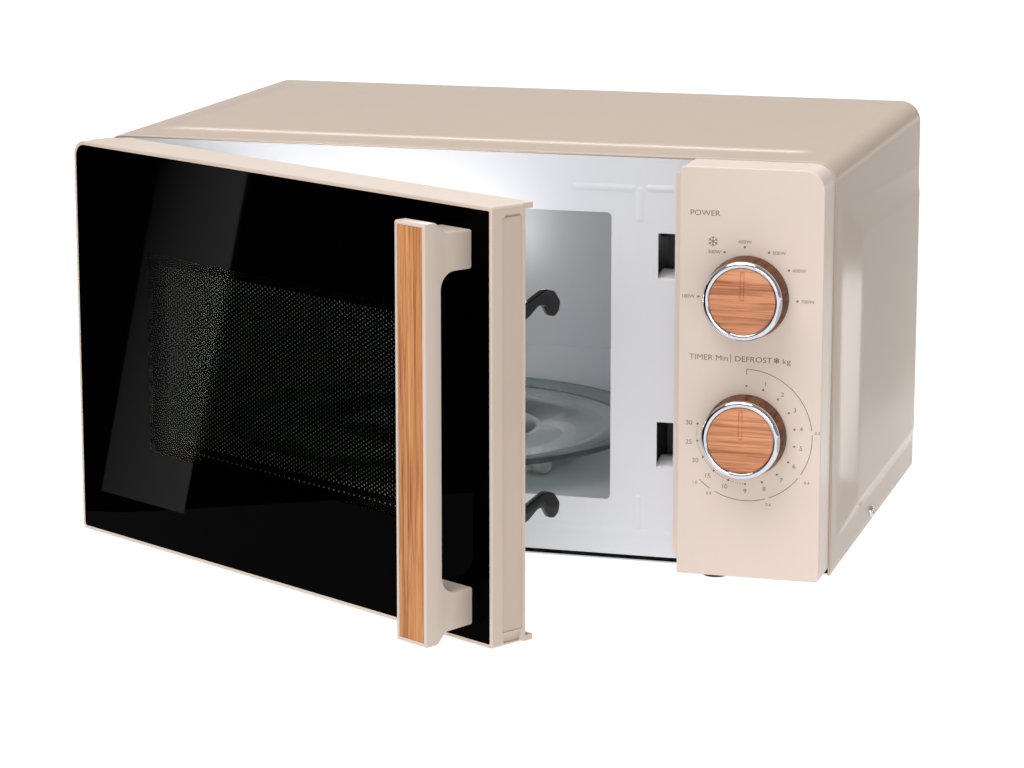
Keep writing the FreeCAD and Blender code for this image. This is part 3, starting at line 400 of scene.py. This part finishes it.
def block(x, y, z, radius=0.0):
    """A box between limits with rounded edges."""
    bm = bmesh.new()
    bmesh.ops.create_cube(bm, size=1)
    size = Vector((x[1] - x[0], y[1] - y[0], z[1] - z[0]))
    middle = Vector((x[0] + x[1], y[0] + y[1], z[0] + z[1])) / 2
    bm.transform(Matrix.Translation(middle) @ Matrix.Diagonal(size).to_4x4())
    if radius:
        bmesh.ops.bevel(bm, geom=bm.edges[:], offset=radius, segments=2, affect="EDGES", profile=0.5)
    return bm


def soften(bm, radius, chosen=lambda edge: True, segments=3):
    """Bevels the edges sharper than 30 degrees that `chosen` accepts."""
    sharp = radians(30)
    edges = [e for e in bm.edges if e.is_manifold and e.calc_face_angle(0) > sharp and chosen(e)]
    bmesh.ops.bevel(bm, geom=edges, offset=radius, segments=segments, affect="EDGES", profile=0.5,
                    clamp_overlap=True)
    return bm


def subtract(obj, cutters):
    """Cuts shapes, given in the CAD frame, out of an object for good. It keeps its material."""
    material = obj.data.materials[0]
    tool_mesh = bpy.data.meshes.new("cutter")
    cutters.to_mesh(tool_mesh)
    cutters.free()
    tool = bpy.data.objects.new("cutter", tool_mesh)
    bpy.context.scene.collection.objects.link(tool)
    change = obj.modifiers.new("cut", "BOOLEAN")
    change.object = tool
    change.solver = "EXACT"
    bake_modifiers(obj)
    bpy.data.objects.remove(tool)
    obj.data.materials.clear()
    obj.data.materials.append(material)


def bake_modifiers(obj):
    """Makes an object's modifiers part of its mesh."""
    bpy.context.view_layer.update()
    depsgraph = bpy.context.evaluated_depsgraph_get()
    mesh = bpy.data.meshes.new_from_object(obj.evaluated_get(depsgraph))
    obj.modifiers.clear()
    obj.data = mesh


def stations(*runs):
    """Joins runs of evenly spaced values, each given as (start, end, number of steps)."""
    values = [runs[0][0]]
    for start, end, count in runs:
        values += [start + (end - start) * (i + 1) / count for i in range(count)]
    return values


def soft_least(a, b, reach=0.22):
    """The smaller of two values, rounded where they meet."""
    h = max(reach - abs(a - b), 0) / reach
    return min(a, b) - h * h * reach / 4


def pressed(t, reach=0.14):
    """A straight ramp from 0 to 1 with small rounds at its foot and crest."""
    return -soft_least(-soft_least(t, 1, reach), 0, reach)


# ---------------------------------------------------------------- cover


def side_press(y, z):
    """How far the side stands out, from 0 to 1: a field with a long slope at its front."""
    front, back, bottom = 21, 292, 29
    front_slope, back_slope, bottom_slope = 51, 13, 11
    share = (y - front) / (back - front)
    top_foot, top_crest = 228 - 13 * share, 205 - 7 * share
    run = soft_least((y - front) / front_slope, (back - y) / back_slope)
    rise = soft_least((z - bottom) / bottom_slope, (top_foot - z) / (top_foot - top_crest))
    return pressed(soft_least(run, rise))


def top_press(x, y):
    """How far the top stands up, from 0 to 1: a wide field with round corners."""
    half_width, half_depth, middle_y, corner, slope = 206, 126, 159, 14.0, 8
    dx, dy = abs(x) - (half_width - corner), abs(y - middle_y) - (half_depth - corner)
    inside = corner - math.hypot(max(dx, 0), max(dy, 0)) - min(max(dx, dy), 0)
    return pressed(inside / slope, 0.5)


def make_cover():
    """The folded cover: one section carried from front to back, then given its thickness."""
    side, top, radius = COVER_HALF_WIDTH, 255.0, 13.0
    bottom, side_raise, top_raise = 11.5, 3.8, 1.0
    levels = stations((bottom, 26, 5), (26, 44, 18), (44, 194, 16), (194, 232, 30),
                      (232, top - radius, 4))
    section = [(side, z, 1, 0) for z in levels]
    bend_steps = 12
    for step in range(1, bend_steps):
        angle = pi / 2 * step / bend_steps
        section.append((side - radius + radius * cos(angle), top - radius + radius * sin(angle),
                        cos(angle), sin(angle)))
    crossing = stations((side - radius, 190, 16), (190, -190, 38), (-190, radius - side, 16))
    section += [(x, top, 0, 1) for x in crossing]
    section += [(-x, z, -nx, nz) for x, z, nx, nz in section[:len(levels) + bend_steps - 1][::-1]]
    depths = stations((0, 18, 5), (18, 46, 22), (46, 66, 6), (66, 80, 14), (80, 272, 22), (272, 298, 20))
    bm = bmesh.new()
    rows = []
    for y in depths:
        row = []
        for x, z, nx, nz in section:
            lift = side_raise * side_press(y, z) if nz == 0 else 0
            lift += top_raise * top_press(x, y) if nx == 0 else 0
            row.append(bm.verts.new((x + nx * lift, y, z + nz * lift)))
        rows.append(row)
    for front, back in zip(rows, rows[1:]):
        for i in range(len(section) - 1):
            bm.faces.new((front[i], front[i + 1], back[i + 1], back[i]))
    cover = add_piece("cover_shell", bm, cover_paint, "cabinet", CABINET,
                      ["outer_cover"], 60)
    skin = cover.modifiers.new("thickness", "SOLIDIFY")
    skin.thickness = MM
    skin.offset = -1
    bake_modifiers(cover)


# ---------------------------------------------------------------- front plate and cabinet fittings


def bead(target, start, end, width, height):
    """A pressed ridge on the front plate from one (x, z) point to another."""
    off_plate = 0.01
    start, end = Vector(start), Vector(end)
    along = (end - start).normalized()
    across = Vector((-along.y, along.x))
    length = (end - start).length
    half = width / 2
    columns = stations((-half, 0, 5), (0, length, max(2, int(length / 3))), (length, length + half, 5))
    lanes = stations((-half, half, 10))
    grid = {}
    for i, u in enumerate(columns):
        for j, v in enumerate(lanes):
            beyond = max(-u, u - length, 0)
            share = math.hypot(beyond, v) / half
            point = start + along * u + across * v
            lift = height * (max(0, 1 - share * share)) ** 1.5
            grid[i, j] = (share, target.verts.new((point.x, -lift - off_plate, point.y)))
    for i in range(len(columns) - 1):
        for j in range(len(lanes) - 1):
            corners = [grid[i, j], grid[i + 1, j], grid[i + 1, j + 1], grid[i, j + 1]]
            if min(share for share, _ in corners) < 1:
                target.faces.new([vertex for _, vertex in corners])
    loose = [vertex for _, vertex in grid.values() if not vertex.link_faces]
    bmesh.ops.delete(target, geom=loose, context="VERTS")


def make_plate_beads():
    """The pressed ridges near the mouth's right corners and the long one under it."""
    bm = bmesh.new()
    for ends in (((70.6, 235.5), (105.5, 235.5)), ((115.7, 236), (128.8, 236)),
                 ((110.3, 217.6), (110.3, 234.6)), ((110, 33.2), (110, 50.3))):
        bead(bm, *ends, 4.6, 0.6)
    bead(bm, (-200, 29), (128, 29), 5.5, 0.3)
    add_piece("plate_beads", bm, plate_enamel, "cabinet", CABINET, sharp=80)


def make_hinge_shade():
    """A black sheet on the front plate's end beside the hinge, with a round inner corner: painted shade
    for the dark gap between the door and the plate.
    """
    outline = eased([(-224, 214), (-193, 214), (-193, 251), (-224, 251)], [2, 2, 9, 2], 6)
    add_piece("hinge_shade", prism(outline, -0.5, -0.03, "Y"), screen_black_and_shade, "cabinet", CABINET)


def screw(radius, height):
    """A domed cross-headed screw standing on z = 0."""
    dome = [(0, 0), (radius, 0), (radius, height * 0.3)]
    dome += [(radius * cos(a), height * (0.3 + 0.7 * sin(a))) for a in
             (radians(20), radians(40), radians(60), radians(75))]
    return lathe(dome + [(0, height)], 40)


def cross(radius, height):
    """The cross recess of a screw head, as one shape."""
    long, short = radius * 0.62, radius * 0.13
    quarter = [(long, short), (short, short), (short, long)]
    outline = []
    for turn in range(4):
        for x, y in quarter:
            for _ in range(turn):
                x, y = -y, x
            outline.append((x, y))
    return prism(outline, height * 0.45, height * 2, "Z")


def make_screws():
    """One screw low on each side of the cover and six round the rear panel."""
    heads, recesses = bmesh.new(), bmesh.new()
    back = 296.8
    side_size, rear_size = (3.7, 2.0), (3.5, 1.7)
    screws = [(side_size, Matrix.Translation((side * COVER_HALF_WIDTH, 138.3, 17.3)) @
               Matrix.Rotation(side * pi / 2, 4, "Y")) for side in (-1, 1)]
    screws += [(rear_size, Matrix.Translation((x, back, z)) @ Matrix.Rotation(-pi / 2, 4, "X"))
               for x, z in ((-215, 60), (-215, 190), (215, 60), (215, 190), (-110, 246), (110, 246))]
    for i, (size, spot) in enumerate(screws):
        join(heads, screw(*size), spot)
        join(recesses, cross(*size), spot @ Matrix.Rotation(0.4 * i, 4, "Z"))
    obj = add_piece("cover_screw_heads", heads, bright_steel, "cabinet", CABINET,
                    ["cover_screws"])
    recesses.transform(CABINET)
    subtract(obj, recesses)


# ---------------------------------------------------------------- dials


def make_knob(name, level):
    """A dial: a skirt against the panel, with a ring, a cap and a pointer at its front.

    The profiles are (radius, height): the skirt's height is from its base, the others' from the front.
    """
    cap_seat = 12.4
    base = CABINET @ Matrix.Translation((DIAL_X, PANEL_FACE - 1, level)) @ OUTWARD
    skirt = [(3, 1), (7, 1), (7, 9.4), (20.6, 9.4), (21, 9.0), (22.2, 0.2), (22.5, 0), (23.8, 0),
             (24.1, 0.15), (24.2, 0.5), (23.05, 11.9), (22.95, 12.25), (22.6, 12.4), (3, 12.4)]
    add_piece(f"{name}_skirt", lathe(skirt, 128), skirt_wood, f"{name}_knob", base,
              [f"{name}_knob_body"])
    ring = [(19.3, 0), (22.9, 0), (22.9, 0.9), (22.84, 1.35), (22.6, 1.8), (22.2, 2.25), (21.75, 2.6),
            (21.3, 2.78), (20.8, 2.8), (20.2, 2.74), (19.75, 2.55), (19.45, 2.2), (19.3, 1.8)]
    front = base @ Matrix.Translation((0, 0, cap_seat))
    add_piece(f"{name}_ring", lathe(ring, 160), chrome, f"{name}_knob", front,
              [f"{name}_knob_ring"], 50)
    disc = [(0, 0), (19.2, 0), (19.2, 1.9), (19.1, 2.15), (18.85, 2.24), (0, 2.24)]
    cap = add_piece(f"{name}_cap", lathe(disc, 128), knob_wood, f"{name}_knob", front,
                    [f"{name}_knob_cap"])
    groove = block((-1.3, 1.3), (0.5, 17.2), (1.75, 4))
    groove.transform(front)
    subtract(cap, groove)
    lip = eased([(-0.85, 1.0), (0.85, 1.0), (0.85, 16.7), (-0.85, 16.7)], [0.4] * 4, 4)
    add_piece(f"{name}_pointer", prism(lip, 1.5, 2.16, "Z"), knob_wood, f"{name}_knob", front)


# ---------------------------------------------------------------- printed marks


INK_LIFT, INK_DEPTH = 0.035, 0.03


def ink_prism(target, outline):
    """A printed shape on the panel's face, from (x, z) points."""
    join(target, prism(outline, PANEL_FACE - INK_LIFT, PANEL_FACE - INK_LIFT + INK_DEPTH, "Y"))


def ink_line(target, start, end, width):
    """A straight printed line between two (x, z) points."""
    start, end = Vector(start), Vector(end)
    side = (end - start).normalized().orthogonal() * width / 2
    ink_prism(target, [tuple(p) for p in (start - side, end - side, end + side, start + side)])


def ink_dot(target, x, z, radius):
    ink_prism(target, [(x + radius * cos(pi * i / 8), z + radius * sin(pi * i / 8)) for i in range(16)])


def ink_arc(target, centre, radius, start, end, width):
    """An arc between two clockwise angles from twelve o'clock."""
    steps = max(2, int((end - start) / 4))
    for i in range(steps):
        angles = [radians(start + (end - start) * (i + k) / steps) for k in (0, 1)]
        inner, outer = radius - width / 2, radius + width / 2
        ring = [(r, a) for r, a in ((inner, angles[0]), (outer, angles[0]), (outer, angles[1]),
                                    (inner, angles[1]))]
        ink_prism(target, [(centre[0] + r * sin(a), centre[1] + r * cos(a)) for r, a in ring])


def ink_flake(target, x, z, radius, width):
    """A six-armed snow crystal."""
    for arm in range(6):
        out = Vector((sin(pi * arm / 3), cos(pi * arm / 3)))
        centre = Vector((x, z))
        ink_line(target, centre, centre + out * radius, width)
        for side in (-1, 1):
            twig = out.copy()
            twig.rotate(Matrix.Rotation(side * radians(50), 2))
            joint = centre + out * radius * 0.55
            ink_line(target, joint, joint + twig * radius * 0.38, width * 0.9)


def ink_text(target, words, x, z, height, align="LEFT", width=None):
    """Words whose capitals are `height` tall, starting, centred or ending at x on baseline z.

    With a width, they are drawn out or in to fill it.
    """
    curve = bpy.data.curves.new("words", "FONT")
    curve.body = words
    curve.align_x = align
    cap_share = 0.73
    curve.size = height / cap_share
    curve.extrude = INK_DEPTH / 2
    curve.resolution_u = 4
    holder = bpy.data.objects.new("words", curve)
    bpy.context.scene.collection.objects.link(holder)
    bpy.context.view_layer.update()
    depsgraph = bpy.context.evaluated_depsgraph_get()
    mesh = bpy.data.meshes.new_from_object(holder.evaluated_get(depsgraph))
    level = PANEL_FACE - INK_LIFT + INK_DEPTH / 2
    stretch = width / holder.dimensions.x if width else 1.08
    mesh.transform(Matrix.Translation((x, level, z)) @ OUTWARD @ Matrix.Diagonal((stretch, 1, 1, 1)))
    target.from_mesh(mesh)
    bpy.data.objects.remove(holder)
    bpy.data.curves.remove(curve)
    bpy.data.meshes.remove(mesh)


def around(level, angle, radius):
    """The point on a dial's circle at a clockwise angle from twelve o'clock."""
    return DIAL_X + radius * sin(radians(angle)), level + radius * cos(radians(angle))


def make_marks():
    """The words, numbers, dots and arcs of the two dials, with angles clockwise from the top."""
    bm = bmesh.new()
    heading, numeral, small, fine, stroke = 3.3, 2.7, 2.1, 1.8, 0.4
    dot_radius, title_z = 28.9, 142.6
    ink_text(bm, "POWER", 147.1, 226.4, heading, width=17.4)
    ink_flake(bm, 160.7, 211.7, 3.1, stroke)
    for words, angle, align, shift, drop in (
            ("180W", -92, "RIGHT", -2, -1), ("300W", -28.5, "RIGHT", -2, -1),
            ("400W", -4, "CENTER", 0, 2), ("500W", 24.5, "LEFT", 2, -1),
            ("600W", 55, "LEFT", 2, -1), ("700W", 92, "LEFT", 2, -1)):
        x, z = around(POWER_Z, angle, dot_radius)
        ink_dot(bm, x, z, 0.7)
        ink_text(bm, words, x + shift, z + drop, small, align)
    ink_text(bm, "TIMER Min", 147.5, title_z, heading, width=22.6)
    ink_line(bm, (171.9, title_z - 1), (171.9, title_z + 4), stroke)
    ink_text(bm, "DEFROST", 174.1, title_z, heading, width=21.4)
    ink_flake(bm, 198.7, title_z + 1.6, 1.8, stroke)
    ink_text(bm, "kg", 201.9, title_z, heading, width=4.7)
    minutes = ["", "1", "2", "3", "4", "5", "6", "7", "8", "9", "10", "15", "20", "25", "30"]
    for i, words in enumerate(minutes):
        angle = 360 / 18 * i
        ink_dot(bm, *around(TIMER_Z, angle, dot_radius), 0.65)
        if words:
            x, z = around(TIMER_Z, angle, dot_radius + 4)
            ink_text(bm, words, x - 1.1 * (len(words) - 1), z - 1.4, numeral, "CENTER")
    for i in range(36):
        if i % 7:
            ink_dot(bm, *around(TIMER_Z, 180 + 100 * i / 35, dot_radius), 0.25)
    outer = 38.8
    for start, end in ((0, 83), (86.5, 123.2), (127, 158.7), (162, 207.6), (212, 224)):
        ink_arc(bm, (DIAL_X, TIMER_Z), outer, start, end, stroke)
    ink_line(bm, around(TIMER_Z, 0, outer), around(TIMER_Z, 0, outer - 3.3), stroke)
    for words, angle, radius in (("0.2", 85, 41.9), ("0.4", 125.7, 44.4), ("0.6", 161, 42.4),
                                 ("0.8", 210.9, 41.6), ("1.0", 225, 42.1)):
        x, z = around(TIMER_Z, angle, radius)
        ink_text(bm, words, x, z - 0.9, fine, "CENTER")
    add_piece("dial_marks", bm, print_ink, "cabinet", CABINET, sharp=30)


# ---------------------------------------------------------------- door


def make_screen():
    """The punched steel screen: a close hexagonal field of holes inside a plain folded pan."""
    pitch_z, pitch_x = 2.5, 2.165
    left, columns, rows = -153.5, 104, 42
    low = 81.0
    front, thick = -24.3, 0.5
    hole = 0.66
    bm = bmesh.new()
    cache = {}

    def vert(x, z, y):
        key = (round(x, 3), round(z, 3), y)
        if key not in cache:
            cache[key] = bm.verts.new((x, y, z))
        return cache[key]

    def quad(points):
        faces = []
        for y in (front, front + thick):
            faces.append([vert(x, z, y) for x, z in points])
        bm.faces.new(faces[0])
        bm.faces.new(faces[1][::-1])

    for column in range(columns):
        x = left + pitch_x * (column + 0.5)
        a, b = x - pitch_x / 2, x + pitch_x / 2
        start = low + (pitch_z / 2 if column % 2 else 0)
        holes = [start + pitch_z * (k + 0.5) for k in range(rows)]
        if column % 2 == 0:
            holes = [low - 3.75] + holes + [start + pitch_z * rows + 6.25]
        z, top = low - 5, low + pitch_z * rows + 7.5
        while z < top - 0.01:
            centre = z + pitch_z / 2
            if any(abs(centre - h) < 0.01 for h in holes):
                outer = [(b, centre), (b, z + pitch_z), (a, z + pitch_z), (a, centre), (a, z), (b, z)]
                inner = [(x + hole * cos(t), centre + hole * sin(t)) for t in
                         (0, pi / 3, 2 * pi / 3, pi, 4 * pi / 3, 5 * pi / 3)]
                for i in range(6):
                    j = (i + 1) % 6
                    quad([outer[i], outer[j], inner[j], inner[i]])
                    bm.faces.new([vert(*inner[i], front), vert(*inner[j], front),
                                  vert(*inner[j], front + thick), vert(*inner[i], front + thick)])
                z += pitch_z
            else:
                step = pitch_z / 2
                quad([(a, z), (b, z), (b, z + step), (a, z + step)])
                z += step
    add_piece("screen_field", bm, screen_black_and_shade, "door", DOOR, ["door_screen"], 30)
    right = left + pitch_x * columns
    pan = bmesh.new()
    limits = ((-205, 106), (28, 240))
    hole_x, hole_z = (left + 0.8, right - 0.8), (low - 4.2, low + pitch_z * rows + 6.7)
    for x, z in (((limits[0][0], hole_x[0]), limits[1]), ((hole_x[1], limits[0][1]), limits[1]),
                 (hole_x, (limits[1][0], hole_z[0])), (hole_x, (hole_z[1], limits[1][1]))):
        join(pan, block(x, (-24.3, -23.7), z))
    for x, z in (((-205, -204.2), limits[1]), ((105.2, 106), limits[1]),
                 (limits[0], (28, 28.8)), (limits[0], (239.2, 240))):
        join(pan, block(x, (-23.7, -8.7), z))
    add_piece("screen_pan", pan, screen_black_and_shade, "door", DOOR, sharp=30)


def make_handle():
    """A square bow: its bar stands a little above its two feet."""
    front, back, glass = -64.9, -52.9, -30.9
    corners = [(front, 18.2), (-56.5, 18.2), (-50.5, 24.4), (glass, 25.1), (glass, 45.8),
               (back, 45.8), (back, 220.2), (glass, 220.2), (glass, 241.1), (-50.5, 241.6),
               (-56.5, 247.4), (front, 247.4)]
    radii = [1.4, 3.5, 5, 1, 1.2, 9.5, 9.5, 1.2, 1, 5, 3.5, 1.4]
    bm = prism(eased(corners, radii, 8), 100.9, 124.8, "X")
    side_edges = soften(bm, 1.1, lambda edge: abs(edge.verts[0].co.x - edge.verts[1].co.x) < 1e-6)
    obj = add_piece("handle_bow", side_edges, handle_plastic, "door", DOOR,
                    ["handle_body"], 28)
    seat = block((103.3, 122.9), (-70, -63.4), (20.6, 245.5))
    seat.transform(DOOR)
    subtract(obj, seat)
    strip = eased([(103.4, 20.7), (122.8, 20.7), (122.8, 245.4), (103.4, 245.4)], [0.8] * 4, 4)
    wood = soften(prism(strip, -64.9, -63.4, "Y"), 0.35,
                  lambda edge: max(v.co.y for v in edge.verts) < -64.8, 2)
    add_piece("handle_wood_strip", wood, handle_wood, "door", DOOR, ["handle_inlay"])


def hook_outline(drop):
    points = [(-14, 184.5), (-4, 185.6), (8, 188.4), (16, 194.2), (20.5, 193.8), (24.5, 187.6),
              (28.1, 187), (31.4, 189.5), (32.6, 195.1), (28, 201.2), (21.2, 203), (8, 197.2),
              (-14, 197)]
    radii = [0, 8, 12, 3, 1.5, 3, 2, 2.5, 4, 4, 6, 12, 0]
    return eased([(y, z - drop) for y, z in points], radii, 6)


def make_hooks():
    """Two rounded hook arms on one sliding bar."""
    thin, thick = 123.5, 127.7
    bm = bmesh.new()
    for drop in (0, 112.6):
        arm = prism(hook_outline(drop), thin, thick, "X")
        soften(arm, 0.9, segments=4)
        join(bm, arm)
    bar = block((thin, thick), (-19, -11), (66, 206), 0.6)
    join(bm, bar)
    join(bm, lathe([(0, 0), (1.2, 0), (1.2, 8), (0, 8)], 24), Matrix.Translation((*LATCH_PEG, 60)))
    add_piece("hook_bar", bm, hook_plastic, "latch", DOOR, ["latch_hooks"], 30)


def make_spring():
    """The spring under the hook bar."""
    coil, wire, turns, low, high = 2.6, 0.4, 8, 47.6, 65.2
    bm = bmesh.new()
    steps, sides = turns * 24, 8
    rings = []
    for i in range(steps + 1):
        angle = 2 * pi * turns * i / steps
        out = Vector((cos(angle), sin(angle), 0))
        centre = out * coil + Vector((0, 0, (high - low) * i / steps))
        rings.append([bm.verts.new(centre + out * wire * cos(t) + Vector((0, 0, wire * sin(t))))
                      for t in (2 * pi * k / sides for k in range(sides))])
    for first, second in zip(rings, rings[1:]):
        for k in range(sides):
            bm.faces.new((first[k - 1], first[k], second[k], second[k - 1]))
    bm.faces.new(rings[0])
    bm.faces.new(rings[-1][::-1])
    join(bm, block((-1, 1), (-1, 1), (-1.6, -0.41), 0.15))
    place = DOOR @ Matrix.Translation((*LATCH_PEG, low))
    spring = add_piece("latch_coil", bm, bright_steel, None, place, ["latch_spring"])
    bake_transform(spring)


def make_edge_trim():
    """A plain fine-textured field set into the door's free edge, in place of any wording."""
    field = eased([(-22.8, 22), (-8.9, 22), (-8.9, 247.5), (-22.8, 247.5)], [0.8] * 4, 4)
    add_piece("edge_field", prism(field, 139.35, 139.6, "X"), edge_plastic, "door", DOOR)


# ---------------------------------------------------------------- turntable


def make_tray():
    """The glass plate with its three dogs, and its stippled rim."""
    base = CABINET @ Matrix.Translation((*TRAY_CENTRE, 0))
    middle = [(0, 51.4), (106, 51.4), (109, 51.6), (120, 53.6), (120, 57.6), (110, 56.3), (104, 55.9),
              (67, 55.9), (65.4, 55.3), (61, 55.3), (59.4, 55.9), (0, 55.9)]
    bm = lathe(middle, 144)
    for i in range(3):
        turn = Matrix.Rotation(radians(30 + 120 * i), 4, "Z")
        join(bm, block((14, 20), (-3, 3), (47.1, 51.6), 0.8), turn)
    add_piece("tray_plate", bm, tray_glass, "tray", base, ["glass_tray"], 40)
    rim = [(120, 53.6), (131, 55.5), (133.6, 56.6), (134.8, 57.8), (135, 59), (134.6, 60.1),
           (133.4, 60.4), (131.8, 60), (120, 57.6)]
    add_piece("tray_rim", lathe(rim, 192), rim_glass, "tray", base, sharp=40)


# ---------------------------------------------------------------- room, light and camera


def area_light(name, place, target, size, power):
    """A rectangular lamp at a place, in metres, facing a target."""
    light = bpy.data.lights.new(name, "AREA")
    light.shape = "RECTANGLE"
    light.size, light.size_y = size
    light.energy = power
    obj = bpy.data.objects.new(name, light)
    obj.location = place
    obj.rotation_euler = (Vector(target) - Vector(place)).to_track_quat("-Z", "Y").to_euler()
    bpy.context.scene.collection.objects.link(obj)


def stage_sheet(name, corners, material):
    """A flat sheet of the studio, from its corners in metres."""
    bm = bmesh.new()
    bm.faces.new([bm.verts.new(corner) for corner in corners])
    mesh = bpy.data.meshes.new(name)
    bm.to_mesh(mesh)
    bm.free()
    mesh.materials.append(material)
    sheet = bpy.data.objects.new(name, mesh)
    bpy.context.scene.collection.objects.link(sheet)


def glowing(name, albedo, strength, fade=None):
    """Studio paper that also glows. A fade is (direction, start, end): full at start, none at end."""
    look = Look(name, Roughness=0.9)
    look.shader.inputs["Specular IOR Level"].default_value = 0
    look.shader.inputs["Emission Color"].default_value = (1, 1, 1, 1)
    look.shader.inputs["Emission Strength"].default_value = strength
    color = (albedo, albedo, albedo, 1)
    look.set("Base Color", look.ramp(look.noise(30, 2), (0.3, shaded(color, 0.99)), (0.7, color)))
    if fade:
        direction, start, end = fade
        inputs = {0: look.place, 1: direction}
        along = look.node("ShaderNodeVectorMath", inputs, operation="DOT_PRODUCT").outputs["Value"]
        look.set("Emission Strength", look.ranged(along, strength, 0, start, end))
    return look.material


def floor_sheet(name, corners, height, material):
    """A sheet lying on the floor, from its corners in the cabinet's millimetres."""
    stage_sheet(name, [CABINET @ Vector((x, y, height)) for x, y in corners], material)


def make_floor():
    """A floor that glows too brightly to show shadows, and the cards that shape the reflections.

    The door's glass mirrors a dark card with one fading bright band, and the cabinet's right side
    mirrors a grey card with one bright strip.
    """
    reach, card_height, strip_height = 60000, 0.5, 1
    floor = [(-reach, -reach), (reach, -reach), (reach, reach), (-reach, reach)]
    floor_sheet("floor", floor, 0, glowing("floor_paper", 0.12, 0.98))
    dark_side = [(-320, -900), (-320, -60), (-520, 380), (-3200, 380), (-3200, -900)]
    floor_sheet("left_card", dark_side, card_height, glowing("left_paper", 0.002, 0.0))
    band_start = (-306, -96)
    band = [band_start, (-2100, -434), (-2260, -352), (-381, -52)]
    across = Vector((-0.185, 0.983, 0))
    near_edge = across.dot(CABINET @ Vector((*band_start, 0)))
    fade = (across, near_edge, near_edge + 0.1)
    floor_sheet("left_strip", band, strip_height, glowing("left_glow", 0.1, 7, fade))
    grey_side = [(440, -620), (3000, -620), (3000, 3000), (-20, 3000), (300, 460)]
    floor_sheet("right_card", grey_side, card_height, glowing("right_paper", 0.12, 0.5))
    slope_glow = [(310, 274), (350, 274), (620, 1034), (520, 1034)]
    floor_sheet("right_strip", slope_glow, strip_height, glowing("right_glow", 0.1, 5))


def make_lights():
    world = bpy.data.worlds.new("studio")
    world.use_nodes = True
    sky = world.node_tree.nodes["Background"].inputs
    sky["Color"].default_value = (1, 1, 1, 1)
    sky["Strength"].default_value = 0.3
    bpy.context.scene.world = world
    sun = bpy.data.lights.new("overhead", "SUN")
    sun.energy = 2.6
    sun.angle = radians(50)
    holder = bpy.data.objects.new("overhead", sun)
    holder.rotation_euler = Vector((-0.25, -0.25, 1)).to_track_quat("Z", "Y").to_euler()
    bpy.context.scene.collection.objects.link(holder)
    area_light("front", (0.5, -2.4, 0.42), (0.05, 0, 0.12), (1.0, 0.5), 12)
    area_light("rear", (0, 3, 1.7), (0, 0, 0.25), (3, 0.6), 32)
    area_light("cavity", CABINET @ Vector((-110, 90, 130)), CABINET @ Vector((70, 284, 165)),
               (0.05, 0.05), 0.15)
    area_light("gap", CABINET @ Vector((-65, -45, 192)), CABINET @ Vector((-65, 0, 246)),
               (0.2, 0.02), 0.13)


def make_camera():
    """The main view, from the right and a little above."""
    look_down, look_left = 11.32, 16.06
    data = bpy.data.cameras.new("camera")
    data.sensor_width = 36
    data.lens = 117.02
    data.shift_x, data.shift_y = 0.0023, -0.0337
    data.clip_end = 50
    camera = bpy.data.objects.new("camera", data)
    camera.location = CABINET @ Vector((567.6, -1862.8, 523.84))
    camera.rotation_euler = (radians(90 - look_down), 0, radians(look_left))
    bpy.context.scene.collection.objects.link(camera)
    bpy.context.scene.camera = camera


def paint_nodes():
    """Gives the CAD nodes that stay in view their materials."""
    for material, names in NODE_LOOKS.items():
        for name in names:
            mesh = frame["nodes"][name].data
            mesh.materials.clear()
            mesh.materials.append(material)


make_camera()
make_floor()
make_lights()
paint_nodes()
make_cover()
make_plate_beads()
make_hinge_shade()
make_screws()
make_knob("power", POWER_Z)
make_knob("timer", TIMER_Z)
make_marks()
make_screen()
make_handle()
make_hooks()
make_spring()
make_edge_trim()
make_tray()
bpy.context.scene.view_settings.view_transform = "Standard"
bpy.context.scene.cycles.use_denoising = True

bpy.context.view_layer.update()
